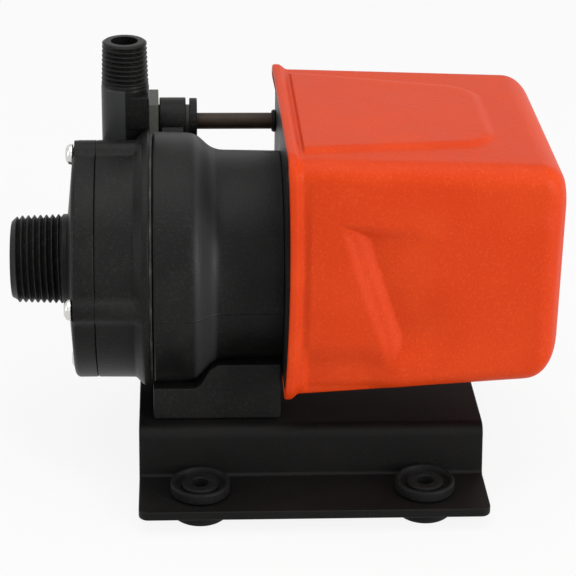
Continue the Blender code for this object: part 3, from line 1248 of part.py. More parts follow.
def ball_bearing(name, start):
    """Deep-groove bearing: two grooved rings and a cage that carries the balls."""
    end = start + BEARING_WIDTH
    middle = (start + end) / 2
    groove = BALL_RADIUS + GAP
    inner_top = BEARING_PITCH_RADIUS - BALL_RADIUS * 0.55
    outer_top = BEARING_PITCH_RADIUS + BALL_RADIUS * 0.55

    def race(shoulder, sign):
        reach = math.sqrt(groove ** 2 - (BEARING_PITCH_RADIUS - shoulder) ** 2)
        low = math.asin(reach / groove)
        return [(middle + groove * math.sin(angle), BEARING_PITCH_RADIUS + sign * groove * math.cos(angle))
                for angle in (-low, 0.0, low)]

    bore = BEARING_BORE_RADIUS + GAP
    mesh = bmesh.new()
    turned(mesh, [(start, bore), (start, inner_top), *race(inner_top, -1), (end, inner_top),
                  (end, bore)], NARROW)
    put(name + "_inner_ring", mesh, STEEL, at())
    mesh = bmesh.new()
    turned(mesh, [(start, BEARING_RADIUS), (start, outer_top), *race(outer_top, 1), (end, outer_top),
                  (end, BEARING_RADIUS)], BROAD)
    put(name + "_outer_ring", mesh, STEEL, at())
    mesh = bmesh.new()
    half = CAGE_WIDTH / 2
    turned(mesh, tube(middle - half, middle + half, inner_top + GAP, outer_top - GAP), ROUND)
    made = put(name + "_balls", mesh, STEEL, at())
    mesh = bmesh.new()
    for side, height in around(BALL_COUNT, BEARING_PITCH_RADIUS, 0.1):
        ball = bmesh.ops.create_icosphere(mesh, subdivisions=1, radius=BALL_RADIUS)
        bmesh.ops.translate(mesh, vec=(middle, side, height), verts=ball["verts"])
    join(made, put(name + "_ball_set", mesh, STEEL, at()))


def gland():
    """Cable gland in the bracket's boss: hexagon and stem, locknut, and rubber seal round the lead."""
    centre = (GLAND_OFFSET, GLAND_RISE)
    facing = math.atan2(GLAND_RISE, GLAND_OFFSET) + math.pi / 6
    hex_end = GLAND_START - GAP
    hex_start = hex_end - GLAND_HEX_THICKNESS
    stem_end = GLAND_NUT_START + GLAND_NUT_THICKNESS - GLAND_EDGE
    mouth_end = hex_start + GLAND_MOUTH_DEPTH
    mesh = bmesh.new()
    hexagon = circle(*centre, GLAND_HEX_APOTHEM / math.cos(math.pi / 6), 6, facing)
    prism(mesh, [hexagon], hex_start, hex_end)
    made = put("gland_body", mesh, GREY_PLASTIC, at())
    mesh = bmesh.new()
    turned(mesh, rod(blend(hex_start, hex_end, 0.4), stem_end, GLAND_STEM_RADIUS), MIDDLE, centre)
    join(made, put("gland_stem", mesh, GREY_PLASTIC, at()))
    mesh = bmesh.new()
    turned(mesh, rod(hex_start - GAP, mouth_end, GLAND_SEAL_RADIUS), ROUND, centre)
    cut(made, put("gland_mouth", mesh, None, at()))
    mesh = bmesh.new()
    turned(mesh, rod(hex_start, stem_end + GAP, LEAD_RADIUS + GAP), NARROW, centre)
    cut(made, put("gland_through", mesh, None, at()))
    mesh = bmesh.new()
    nut_end = GLAND_NUT_START + GLAND_NUT_THICKNESS
    inner, rounded_off = GLAND_STEM_RADIUS + GAP, GLAND_NUT_RADIUS - GLAND_EDGE
    turned(mesh, [(GLAND_NUT_START, inner), (GLAND_NUT_START, rounded_off),
                  (GLAND_NUT_START + GLAND_EDGE, GLAND_NUT_RADIUS), (nut_end - GLAND_EDGE, GLAND_NUT_RADIUS),
                  (nut_end, rounded_off), (nut_end, inner)], ROUND, centre)
    put("gland_locknut", mesh, BLACK_PLASTIC, at())
    mesh = bmesh.new()
    turned(mesh, tube(hex_start + GAP, mouth_end - GAP, LEAD_RADIUS + GAP, GLAND_SEAL_RADIUS - GAP),
           NARROW, centre)
    put("gland_seal", mesh, RUBBER, at())
    mesh = bmesh.new()
    turned(mesh, rod(hex_start + LEAD_SETBACK, PLATE_END + LEAD_TAIL, LEAD_RADIUS), NARROW, centre)
    put("motor_lead", mesh, LEAD_SHEATH, at())
    mesh = bmesh.new()
    inner = LEAD_RADIUS + GAP
    front, back = PLATE_START - GAP, PLATE_END + GAP
    turned(mesh, [(front - BUSHING_LIP, inner), (front - BUSHING_LIP, BUSHING_LIP_RADIUS - BUSHING_LIP / 2),
                  (front, BUSHING_LIP_RADIUS), (front, BUSHING_BODY_RADIUS), (back, BUSHING_BODY_RADIUS),
                  (back, BUSHING_LIP_RADIUS), (back + BUSHING_LIP, BUSHING_LIP_RADIUS - BUSHING_LIP / 2),
                  (back + BUSHING_LIP, inner)], NARROW, centre)
    put("lead_bushing", mesh, RUBBER, at())


suction_cover()
housing_screws()
seal_ring("cover_o_ring", REGISTER_END)
volute_body()
impeller()
wet_rotor_pieces()
thrust_washer("front_thrust_washer", FRONT_WASHER_START)
thrust_washer("rear_thrust_washer", REAR_WASHER_START)
spindle()
rear_housing()
seal_ring("rear_housing_o_ring", LIP_START)
drive_magnet_cup()
drive_magnet_ring()
hub_set_screw()
motor_bracket()
bracket_screws()
foot_bolts()
base_plate()
for index, foot_place in enumerate(FEET, start=1):
    rubber_foot(index, foot_place)
motor_end_plate()
motor_shaft()
rotor_core()
stator_core()
coil_and_bobbin()
shading_rings()
rear_bearing_bracket()
through_bolts()
ball_bearing("front_bearing", FRONT_BEARING)
ball_bearing("rear_bearing", REAR_BEARING)
motor_cover()
cover_screws()
gland()
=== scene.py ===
"""Magnetic drive pump: fine surfaces, procedural finishes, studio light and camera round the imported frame.

Metres, +Z up, in the frame's own axes. The shaft runs along X and the inlet points to -X.
Surfaces are grids of points worked out with numpy: turned profiles with threads and lobes cut into them,
and the motor cover as one skin of rounded sections with its panel, leaf and dimple as height fields.
"""
import json
import math

import bmesh
import bpy
import numpy as np
from mathutils import Matrix, Vector


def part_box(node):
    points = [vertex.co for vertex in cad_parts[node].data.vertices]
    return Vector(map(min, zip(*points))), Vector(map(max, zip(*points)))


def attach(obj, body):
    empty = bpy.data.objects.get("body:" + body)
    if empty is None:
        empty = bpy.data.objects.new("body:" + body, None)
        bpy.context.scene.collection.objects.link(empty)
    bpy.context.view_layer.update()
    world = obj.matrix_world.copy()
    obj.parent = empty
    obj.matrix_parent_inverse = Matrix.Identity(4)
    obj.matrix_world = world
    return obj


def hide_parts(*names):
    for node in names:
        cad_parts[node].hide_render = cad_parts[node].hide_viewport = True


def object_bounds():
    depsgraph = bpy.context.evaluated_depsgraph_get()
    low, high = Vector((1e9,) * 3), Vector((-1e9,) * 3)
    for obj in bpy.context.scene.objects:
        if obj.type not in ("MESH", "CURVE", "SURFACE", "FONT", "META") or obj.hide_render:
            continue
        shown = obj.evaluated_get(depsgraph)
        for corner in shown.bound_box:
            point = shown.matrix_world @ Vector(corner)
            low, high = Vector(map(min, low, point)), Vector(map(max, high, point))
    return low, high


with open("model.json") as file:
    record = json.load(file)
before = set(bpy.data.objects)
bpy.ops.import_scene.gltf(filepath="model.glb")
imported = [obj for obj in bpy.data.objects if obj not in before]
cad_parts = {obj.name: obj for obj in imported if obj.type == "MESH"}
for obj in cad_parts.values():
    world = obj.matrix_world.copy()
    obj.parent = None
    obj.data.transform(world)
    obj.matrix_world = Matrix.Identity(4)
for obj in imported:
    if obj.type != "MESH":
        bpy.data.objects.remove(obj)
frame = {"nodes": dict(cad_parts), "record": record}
cad_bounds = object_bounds()
MM = 0.001
TAU = math.tau
HOUSING = "housing"
SHARP_ANGLE = 40
FEET = [f"rubber_foot_{number}" for number in range(1, 5)]


def span(node, axis):
    """Lowest and highest value of a node along an axis, 0 to 2."""
    low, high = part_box(node)
    return low[axis], high[axis]


def middle(node, axis):
    """Halfway between a node's lowest and highest value along an axis."""
    return sum(span(node, axis)) / 2


# Sizes that the nodes' boxes don't give
INLET_LENGTH, OUTLET_LENGTH = 17.1 * MM, 13.5 * MM
OUTLET_STATION, OUTLET_SIDE = 34.56 * MM, 16 * MM

# Places read from the frame
SHAFT_Z = middle("spindle", 2)
TIP, JOINT_END = span("suction_cover", 0)
VOLUTE_START, VOLUTE_END = span("volute_body", 0)
DRUM_START, NECK_END = span("motor_bracket", 0)
RIM, COVER_END = span("motor_cover", 0)
FACE = TIP + INLET_LENGTH
OUTLET_TOP = span("volute_body", 2)[1]
OUTLET = (TIP + OUTLET_STATION, OUTLET_SIDE)
GLAND = (middle("gland_body", 1), middle("gland_body", 2))
BASE_LOW, BASE_TOP = span("base_plate", 2)


# Node maths

class Wire:
    """A shader value that can be used in sums: each operator adds a Math node to its tree."""

    def __init__(self, nodes, socket):
        self.nodes, self.socket = nodes, socket

    def maths(self, operation, *values):
        """The result of a Math node's operation on values, which are Wires or numbers."""
        made = self.nodes.add("Math", {"operation": operation}, dict(enumerate(values)))
        return Wire(self.nodes, made.outputs[0])

    def __add__(self, other):
        return self.maths("ADD", self, other)

    def __mul__(self, other):
        return self.maths("MULTIPLY", self, other)

    def __sub__(self, other):
        return self.maths("SUBTRACT", self, other)

    def __rsub__(self, other):
        return self.maths("SUBTRACT", other, self)

    def __truediv__(self, other):
        return self.maths("DIVIDE", self, other)

    __radd__ = __add__

    def clamp(self, low=0.0, high=1.0):
        """The value, kept from low to high."""
        return self.maths("MINIMUM", self.maths("MAXIMUM", self, low), high)

    def ridge(self):
        """0 in the middle of each unit and 0.5 at its ends."""
        share = self.maths("FRACT", self) - 0.5
        return share.maths("ABSOLUTE", share)

    def step(self, low, high):
        """Eases from 0 at low to 1 at high."""
        made = self.nodes.add("MapRange", {"interpolation_type": "SMOOTHSTEP"},
                              {"Value": self, "From Min": low, "From Max": high})
        return Wire(self.nodes, made.outputs["Result"])


class Nodes:
    """A node tree with one way to add a node to it."""

    def __init__(self, owner):
        owner.use_nodes = True
        self.tree = owner.node_tree

    def add(self, kind, settings, sockets):
        """Adds a node of a kind, sets its settings, then gives its sockets their values or links."""
        made = self.tree.nodes.new("ShaderNode" + kind)
        for name, value in settings.items():
            setattr(made, name, value)
        for name, value in sockets.items():
            if isinstance(value, Wire):
                self.tree.links.new(value.socket, made.inputs[name])
            else:
                made.inputs[name].default_value = value
        return made

    def white_to_the_eye(self):
        """1 for rays from the camera, in a gloss or through glass, and 0 for rays that light things."""
        rays = self.add("LightPath", {}, {})
        seen = Wire(self, rays.outputs["Is Camera Ray"]) + Wire(self, rays.outputs["Is Glossy Ray"])
        return (seen + Wire(self, rays.outputs["Is Transmission Ray"])).clamp()


class Finish(Nodes):
    """A material with one Principled shader, and the nodes that vary its colour, roughness and relief."""

    def __init__(self, name, colour, roughness, metallic=0.0, coat=0.0, specular=0.5):
        self.made = bpy.data.materials.new(name)
        super().__init__(self.made)
        self.shader = self.tree.nodes["Principled BSDF"]
        self.inputs = self.shader.inputs
        self.inputs["Base Color"].default_value = (*colour, 1.0)
        self.inputs["Roughness"].default_value = roughness
        self.inputs["Metallic"].default_value = metallic
        self.inputs["Coat Weight"].default_value = coat
        self.inputs["Specular IOR Level"].default_value = specular
        self.colour, self.normal = (*colour, 1.0), None
        self.place = Wire(self, self.add("TexCoord", {}, {}).outputs["Object"])

    def along(self, axis):
        """Position along an axis, in millimetres."""
        split = self.add("SeparateXYZ", {}, {"Vector": self.place})
        return Wire(self, split.outputs[axis]) / MM

    def noise(self, size, detail=3.0, rough=0.55, stretch=(1.0, 1.0, 1.0)):
        """Noise from 0 to 1 with features of about size metres, drawn out where the stretch is small."""
        place = self.add("Mapping", {}, {"Vector": self.place, "Scale": stretch}).outputs["Vector"]
        made = self.add("TexNoise", {}, {"Vector": Wire(self, place), "Scale": 1.0 / size, "Detail": detail,
                                         "Roughness": rough})
        return Wire(self, made.outputs["Fac"])

    def cells(self, size):
        """Distance to the nearest of many scattered points, for grain."""
        made = self.add("TexVoronoi", {}, {"Vector": self.place, "Scale": 1.0 / size})
        return Wire(self, made.outputs["Distance"])

    def tint(self, amount, other):
        """Mixes the base colour towards another one by an amount that varies."""
        values = {"Factor": amount, "A": self.colour, "B": (*other, 1.0)}
        made = self.add("Mix", {"data_type": "RGBA"}, values)
        self.colour = Wire(self, made.outputs["Result"])
        self.tree.links.new(self.colour.socket, self.inputs["Base Color"])
        return self

    def polish(self, amount):
        """Sets the varying roughness."""
        self.tree.links.new(amount.clamp(0.03, 1.0).socket, self.inputs["Roughness"])
        return self

    def relief(self, height, depth):
        """Adds a bump of the given depth in metres to the bumps before it."""
        before = {"Normal": self.normal} if self.normal else {}
        made = self.add("Bump", {}, {"Distance": depth, "Height": height, **before})
        self.normal = Wire(self, made.outputs["Normal"])
        self.tree.links.new(self.normal.socket, self.inputs["Normal"])
        return self


def moulded(name, colour, light, roughness, grain=0.35 * MM, depth=0.02 * MM, specular=0.12):
    """Moulded plastic: spark-eroded grain, faint flow clouds and scuffed high spots."""
    made = Finish(name, colour, roughness, specular=specular)
    cloud = made.noise(18 * MM, 4.0)
    fleck = made.noise(0.8 * MM, 2.0)
    made.tint((cloud.step(0.38, 0.72) * 0.40 + fleck.step(0.50, 0.70) * 0.55).clamp(), light)
    made.polish(roughness + (cloud - 0.5) * 0.16 + (fleck - 0.5) * 0.10)
    made.relief(made.cells(grain) + made.noise(grain * 0.6, 2.0) * 0.6, depth)
    made.relief(made.noise(30 * MM, 2.0), 0.2 * MM)
    return made


def bare_metal(name, colour, roughness, stretch=(1.0, 1.0, 1.0), size=0.25 * MM, depth=0.006 * MM):
    """Metal with fine tool marks and faint stains."""
    made = Finish(name, colour, roughness, metallic=1.0)
    marks = made.noise(size, 3.0, 0.6, stretch)
    stain = made.noise(6 * MM, 3.0)
    made.tint(stain.step(0.5, 0.8) * 0.35, tuple(part * 0.72 for part in colour))
    made.polish(roughness + (marks - 0.5) * 0.22 + (stain - 0.5) * 0.1)
    return made.relief(marks, depth)


BLACK, WORN_BLACK = (0.0048, 0.0047, 0.0045), (0.0160, 0.0157, 0.0150)
PARTING_DROP = 3.4
SHOULDER_START, SHOULDER_LENGTH = 12.2, 6.2

black, bracket_black = (moulded(name, BLACK, WORN_BLACK, 0.43, 0.6 * MM, 0.045 * MM)
                        for name in ("black_moulding", "bracket_moulding"))
# In millimetres: the bracket's parting line lies below the shaft, and its shoulder is painted greyer than its
# drum, a painted highlight of the side light on the shoulder
parting = bracket_black.along("Z") - (SHAFT_Z / MM - PARTING_DROP)
bracket_black.relief(parting.maths("ABSOLUTE", parting).step(0.05, 0.35), -0.10 * MM)
past_drum = bracket_black.along("X") - (DRUM_START / MM + SHOULDER_START)
shoulder_highlight = past_drum.step(-0.8, 0.8) * (SHOULDER_LENGTH - past_drum).step(-0.8, 0.8)
# Painted highlight: the shoulder band is lightened to grey
bracket_black.tint(shoulder_highlight, (0.026, 0.026, 0.026))
thread_black = moulded("thread_moulding", (0.0050, 0.0049, 0.0047), (0.0120, 0.0118, 0.0112), 0.38,
                       0.6 * MM, 0.008 * MM)
# The outlet's neck is painted lighter below its thread, on the side of the inlet: a painted highlight of the
# light from that side
lit_side_highlight = (OUTLET[0] / MM + 0.1 - thread_black.along("X")).step(-0.3, 0.3)
below_thread = (OUTLET_TOP / MM - 13.4 - thread_black.along("Z")).step(-0.4, 0.4)
thread_black.tint(lit_side_highlight * below_thread * 0.9, (0.040, 0.041, 0.041))
paint = moulded("black_powder_paint", (0.0050, 0.0046, 0.0044), (0.0085, 0.0078, 0.0074), 0.50,
                0.55 * MM, 0.03 * MM, 0.10)
orange = moulded("orange_moulding", (0.58, 0.042, 0.0040), (0.66, 0.062, 0.0090), 0.44, 0.7 * MM, 0.05 * MM)
pale = moulded("pale_moulding", (0.060, 0.060, 0.056), (0.085, 0.085, 0.080), 0.5)
grey = moulded("grey_moulding", (0.075, 0.075, 0.068), (0.11, 0.11, 0.10), 0.42)
rubber = moulded("black_rubber_skin", (0.0060, 0.0060, 0.0060), (0.014, 0.014, 0.0135), 0.56,
                 0.45 * MM, 0.012 * MM, 0.10)
carbon = moulded("carbon_skin", (0.03, 0.03, 0.03), (0.05, 0.05, 0.05), 0.4)
ceramic = moulded("ceramic_skin", (0.80, 0.78, 0.72), (0.86, 0.84, 0.79), 0.2, 0.2 * MM, 0.003 * MM, 0.5)
ferrite = moulded("ferrite_skin", (0.045, 0.045, 0.050), (0.075, 0.075, 0.08), 0.55)
stainless = bare_metal("stainless_steel_skin", (0.63, 0.62, 0.60), 0.24)
steel = bare_metal("steel_skin", (0.45, 0.45, 0.46), 0.34, (8.0, 1.0, 1.0))
cast = bare_metal("cast_aluminium_skin", (0.55, 0.55, 0.56), 0.5, (1.0, 1.0, 1.0), 0.8 * MM, 0.03 * MM)


def laminated():
    """Stacked sheets: one dark joint for each half millimetre along the shaft."""
    made = Finish("lamination_skin", (0.21, 0.21, 0.22), 0.5, metallic=1.0)
    joint = (made.along("X") * 2.0).ridge()
    made.tint(joint.step(0.36, 0.5), (0.05, 0.045, 0.045))
    made.polish(0.45 + made.noise(1.5 * MM) * 0.15)
    return made.relief(joint, -0.05 * MM)


def wound():
    """Enamelled wire side by side round the coil, 2.4 turns to the millimetre."""
    made = Finish("winding_skin", (0.62, 0.22, 0.08), 0.3, metallic=1.0, coat=0.5)
    crown = (made.along("Y") * 2.4).ridge()
    # Painted shade: the grooves between the turns are darkened
    made.tint(crown.step(0.3, 0.5), (0.12, 0.035, 0.012))
    made.polish(0.28 + made.noise(3 * MM) * 0.12)
    return made.relief(crown, -0.12 * MM)


def sheathed():
    """Brown-black lead sheath with faint drawn lines."""
    made = Finish("lead_sheath_skin", (0.044, 0.030, 0.021), 0.42, specular=0.15)
    lines = made.noise(0.35 * MM, 2.0, 0.5, (0.06, 1.0, 1.0))
    made.tint(made.noise(4 * MM).step(0.4, 0.7) * 0.6, (0.062, 0.042, 0.030))
    made.polish(0.38 + lines * 0.12)
    return made.relief(lines, 0.02 * MM)


lamination, winding, sheath = laminated(), wound(), sheathed()


# Surfaces

def smooth(share):
    """Eases from 0 to 1: s*s*(3 - 2s) with s clipped to 0 and 1."""
    share = np.clip(share, 0.0, 1.0)
    return share * share * (3 - 2 * share)


def soft_max(a, b, reach):
    """Larger of two heights with a fillet of about reach: (a + b + sqrt((a-b)^2 + reach^2)) / 2."""
    return (a + b + np.sqrt((a - b) ** 2 + reach ** 2)) / 2


def eased(points, reach, steps=5, closed=True):
    """Rounds a profile's corners: (1-s)^2 start + 2s(1-s) corner + s^2 end, each up to reach long."""
    points = np.asarray(points, float)
    reach = np.broadcast_to(np.asarray(reach, float), len(points))[:, None]
    before, after = (np.roll(points, shift, axis=0) - points for shift in (1, -1))
    s = np.linspace(0, 1, steps + 1)[:, None, None]

    def start(side):
        """Where the curve leaves a side: as far as the reach, and at most 0.48 of the side."""
        length = np.hypot(side[:, :1], side[:, 1:])
        return points + side / length * np.minimum(reach, length * 0.48)

    arcs = (1 - s) ** 2 * start(before) + 2 * s * (1 - s) * points + s ** 2 * start(after)
    if closed:
        return arcs.transpose(1, 0, 2).reshape(-1, 2)
    inside = arcs[:, 1:-1].transpose(1, 0, 2).reshape(-1, 2)
    return np.concatenate([points[:1], inside, points[-1:]])


class Shape:
    """Grids of points and their faces, gathered as arrays until piece() makes them one mesh."""

    def __init__(self):
        self.points, self.faces, self.count = [], [], 0

    def grid(self, points, closed_rows=False, closed_columns=True):
        """Adds the quads of a (rows, columns, 3) grid of points, and gives the points' numbers."""
        rows, columns = points.shape[:2]
        index = self.count + np.arange(rows * columns).reshape(rows, columns)
        self.points.append(points.reshape(-1, 3))
        self.count += rows * columns
        across = np.concatenate([index, index[:, :1]], axis=1) if closed_columns else index
        both = np.concatenate([across, across[:1]]) if closed_rows else across
        corners = np.stack([both[:-1, :-1], both[:-1, 1:], both[1:, 1:], both[1:, :-1]], axis=-1)
        self.faces += corners.reshape(-1, 4).tolist()
        return index

    def turned(self, profile, columns=96, centre=(0.0, 0.0), change=None, axis="X", closed=True):
        """Turns (along, radius) points about a line along an axis.

        change(along, radius, angle) may move them first. u = centre + radius cos(angle) and
        v = centre + radius sin(angle), where (u, v) is (y, z) for a line along X and (x, y) for a line
        along Z.
        """
        along, radius = np.asarray(profile, float).T[:, :, None]
        angle = np.linspace(0, TAU, columns, endpoint=False)[None]
        along, radius = along + 0 * angle, radius + 0 * angle
        if change:
            along, radius = change(along, radius, angle)
        u, v = centre[0] + radius * np.cos(angle), centre[1] + radius * np.sin(angle)
        self.grid(np.stack((along, u, v) if axis == "X" else (u, v, along), axis=-1), closed_rows=closed)
        return self

    def extruded(self, outline, start, end, axis):
        """Moves a closed (u, v) outline along an axis: (y, z) along X, (z, x) along Y and (x, y) along Z."""
        outline = np.asarray(outline, float)
        ends = [np.column_stack([np.full(len(outline), along), outline]) for along in (start, end)]
        index = self.grid(np.roll(np.stack(ends), "XYZ".index(axis), axis=2))
        self.faces += index.tolist()
        return self


def piece(name, shape, surface, nodes=(), sharp=SHARP_ANGLE, body=HOUSING):
    """Makes a shape a piece that rides on a body and stands for CAD nodes."""
    data = bpy.data.meshes.new(name)
    data.from_pydata(np.concatenate(shape.points).tolist(), [], shape.faces)
    mesh = bmesh.new()
    mesh.from_mesh(data)
    bmesh.ops.remove_doubles(mesh, verts=mesh.verts, dist=1e-6)
    bmesh.ops.dissolve_degenerate(mesh, edges=mesh.edges, dist=1e-7)
    bmesh.ops.recalc_face_normals(mesh, faces=mesh.faces)
    mesh.to_mesh(data)
    mesh.free()
    data.shade_smooth()
    data.set_sharp_from_angle(angle=math.radians(sharp))
    data.materials.append(surface.made)
    made = bpy.data.objects.new(name, data)
    bpy.context.scene.collection.objects.link(made)
    if body:
        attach(made, body)
    if nodes:
        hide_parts(*nodes)
    return made


def carved(target, *shapes):
    """Cuts shapes out of a piece for good."""
    cutters = [piece("tool", shape, black, body=None) for shape in shapes]
    for cutter in cutters:
        step = target.modifiers.new("cut", "BOOLEAN")
        step.operation, step.solver, step.object = "DIFFERENCE", "EXACT", cutter
    bpy.context.view_layer.update()
    shaped = bpy.data.meshes.new_from_object(target.evaluated_get(bpy.context.evaluated_depsgraph_get()))
    target.modifiers.clear()
    target.data = shaped
    shaped.set_sharp_from_angle(angle=math.radians(SHARP_ANGLE))
    for cutter in cutters:
        bpy.data.objects.remove(cutter, do_unlink=True)
    return target


def hexagon(reach, centre, facing=0.0):
    """Corners of a hexagon: centre + reach (cos a, sin a), a sixth of a turn apart."""
    turns = facing + TAU * np.arange(6) / 6
    return reach * np.column_stack([np.cos(turns), np.sin(turns)]) + centre


def softened(target, width, segments=2, angle=35):
    """Rounds a piece's edges with a Bevel modifier."""
    step = target.modifiers.new("edges", "BEVEL")
    step.width, step.segments, step.limit_method = width, segments, "ANGLE"
    step.angle_limit = math.radians(angle)
    step.harden_normals = True
    return target


# Pump head

HEAD_RADIUS = 35.85 * MM
FLANGE_RADIUS = 38.45 * MM
CONE_EDGE = FACE + 2.1 * MM
SCREW_SEAT = CONE_EDGE + 0.4 * MM
BOLT_CIRCLE = 34.2 * MM
SCREW_PHASE = math.radians(1.5)
LOBE_RADIUS = 4.15 * MM
REGISTER = 30.5 * MM
LOBE_FILLET = 0.5 * MM
PIPE_TAPER = 32  # a taper thread's radius grows by one in this
INLET_BORE, INLET_PITCH, INLET_DEPTH = 9.0 * MM, 1.814 * MM, 1.05 * MM
OUTLET_BORE, OUTLET_PITCH, OUTLET_DEPTH = 4.05 * MM, 1.411 * MM, 0.72 * MM
SCREW_TURNS = [SCREW_PHASE + TAU * number / 4 for number in range(4)]
SCREW_PLACES = [(BOLT_CIRCLE * math.cos(turn), SHAFT_Z + BOLT_CIRCLE * math.sin(turn))
                for turn in SCREW_TURNS]
ON_SHAFT = (0.0, SHAFT_Z)


def lobes(angle):
    """Reach of the screw lobes from the shaft, an angle o from the nearest screw.

    It is d cos(o) + sqrt(r^2 - (d sin(o))^2), for lobes of radius r on a circle of radius d.
    """
    off = (angle - SCREW_PHASE + TAU / 8) % (TAU / 4) - TAU / 8
    inside = LOBE_RADIUS ** 2 - (BOLT_CIRCLE * np.sin(off)) ** 2
    return BOLT_CIRCLE * np.cos(off) + np.sign(inside) * np.sqrt(np.abs(inside))


def thread(along, radius, angle, start, end, pitch, depth):
    """Cuts a right-hand V thread with narrow crests: radius - depth (1 - c), fading out at both ends.

    c is 1 on a crest and 0 in a groove: 1.25 |2t - 1| - 0.06 clipped to 0 and 1, where t is what is left of
    (along - start) / pitch - angle / turn without its whole turns.
    """
    turn = ((along - start) / pitch - angle / TAU) % 1.0
    crest = np.clip(np.abs(2 * turn - 1) * 1.25 - 0.06, 0.0, 1.0)
    fade = smooth((along - start) / (0.8 * pitch) + 0.4) * smooth((end - along) / (0.8 * pitch))
    return radius - depth * (1 - crest) * fade


def suction_cover():
    """Front housing: taper thread, cone, screw lobes and register in one turned skin."""
    crest = np.linspace(TIP + 1.7 * MM, FACE - 0.7 * MM, 150)
    taper = 13.05 * MM + (crest - TIP) / PIPE_TAPER
    wall, socket, joint = 4 * MM, 12.6 * MM, VOLUTE_START - 0.08 * MM
    front = eased([(TIP, INLET_BORE), (TIP, 11.4 * MM), (TIP + 1.6 * MM, 13.0 * MM)], 0.35 * MM,
                  closed=False)
    cone = [(FACE - 0.3 * MM, 13.6 * MM), (FACE, 14.2 * MM), (CONE_EDGE, HEAD_RADIUS - 0.9 * MM),
            (CONE_EDGE + 0.9 * MM, HEAD_RADIUS), (joint, HEAD_RADIUS), (joint, REGISTER),
            (JOINT_END, REGISTER), (JOINT_END, 26.2 * MM), (FACE + 6 * MM, 24.2 * MM),
            (FACE + wall, socket), (JOINT_END, socket), (JOINT_END, INLET_BORE)]
    profile = np.concatenate([front, np.column_stack([crest, taper]), eased(cone, 0.5 * MM, 4, closed=False)])

    def change(along, radius, angle):
        """Threads the spigot, and fillets the head's outside into the lobes."""
        threaded = (radius > 12.7 * MM) & (radius < 13.7 * MM) & (along < FACE)
        cut = thread(along, radius, angle, TIP + 1.0 * MM, FACE - 1.2 * MM, INLET_PITCH, INLET_DEPTH)
        radius = np.where(threaded, cut, radius)
        outside = (radius > HEAD_RADIUS - 0.5 * MM) & (along > CONE_EDGE)
        return along, np.where(outside, soft_max(radius, lobes(angle), LOBE_FILLET), radius)

    shape = Shape().turned(profile, 240, ON_SHAFT, change)
    made = piece("suction_cover_skin", shape, black, ["suction_cover"])
    seats = Shape()
    ahead, seat_radius = FACE - 1 * MM, 3.55 * MM
    seat = [(ahead, 0), (ahead, seat_radius), (SCREW_SEAT, seat_radius), (SCREW_SEAT, 0)]
    for place in SCREW_PLACES:
        seats.turned(seat, 48, place, closed=False)
    return carved(made, seats)


def spider():
    """Three arms and a hub that hold the spindle's front end in the inlet."""
    start, end = JOINT_END - 8.0 * MM, JOINT_END - 0.5 * MM
    hub_radius, inset = 4.5 * MM, 0.3 * MM
    hub = eased([(start - 2.2 * MM, 0), (start, 3.6 * MM), (start + 2 * MM, hub_radius),
                 (end, hub_radius), (end, 0)], 1.2 * MM, closed=False)
    shape = Shape().turned(hub, 48, ON_SHAFT, closed=False)
    fin = np.array([(-0.7, 2.0), (0.7, 2.0), (1.0, 9.6), (-1.0, 9.6)]) * MM
    for number in range(3):
        turn = TAU * number / 3
        across = np.array([math.cos(turn), math.sin(turn)])
        out = np.array([-math.sin(turn), math.cos(turn)])
        arm = fin[:, :1] * across + fin[:, 1:] * out + ON_SHAFT
        shape.extruded(arm, start + inset, end - inset, "X")
    return piece("inlet_spider", shape, black)


def pan_screw(number, place):
    """Pan-head screw along X with a cross recess."""
    head = SCREW_SEAT - 0.3 * MM
    front = head - 2.3 * MM
    shank, tip = 1.8 * MM, head + 8 * MM
    profile = eased([(front, 0), (front + 0.1 * MM, 1.9 * MM), (front + 0.9 * MM, 3.0 * MM),
                     (head, 3.25 * MM), (head, shank), (tip, shank), (tip, 0)], 0.5 * MM, closed=False)
    made = piece(f"housing_screw_{number}_skin", Shape().turned(profile, 48, place, closed=False), stainless,
                 [f"housing_screw_{number}"])
    slot = np.array([(-0.4, -1.7), (0.4, -1.7), (0.4, 1.7), (-0.4, 1.7)]) * MM
    slots = []
    for turn in (0.3, 0.3 + TAU / 4):
        turning = np.array([(math.cos(turn), math.sin(turn)), (-math.sin(turn), math.cos(turn))])
        slots.append(Shape().extruded(slot @ turning + place, front - 1 * MM, front + 1.2 * MM, "X"))
    return carved(made, *slots)


def volute_body():
    """Middle casing: round wall with lobes and the flange that flares out behind it."""
    chamfer = VOLUTE_START + 11.3 * MM
    rim = chamfer + 2.4 * MM
    chamber = 27 * MM
    profile = eased([(VOLUTE_START, REGISTER + 0.3 * MM), (VOLUTE_START, HEAD_RADIUS),
                     (chamfer, HEAD_RADIUS + 0.15 * MM), (rim, FLANGE_RADIUS), (VOLUTE_END, FLANGE_RADIUS),
                     (VOLUTE_END, 30.8 * MM), (VOLUTE_END - 4 * MM, chamber),
                     (VOLUTE_START + 3 * MM, chamber)], 0.55 * MM, 6)

    def change(along, radius, angle):
        """Fillets the wall into the lobes, which run out in the flange."""
        share = smooth((rim + 0.6 * MM - along) / (1.2 * MM)) * (radius > HEAD_RADIUS - 0.6 * MM)
        return along, radius + (soft_max(radius, lobes(angle), LOBE_FILLET) - radius) * share

    return piece("volute_body_skin", Shape().turned(profile, 288, ON_SHAFT, change), black, ["volute_body"])


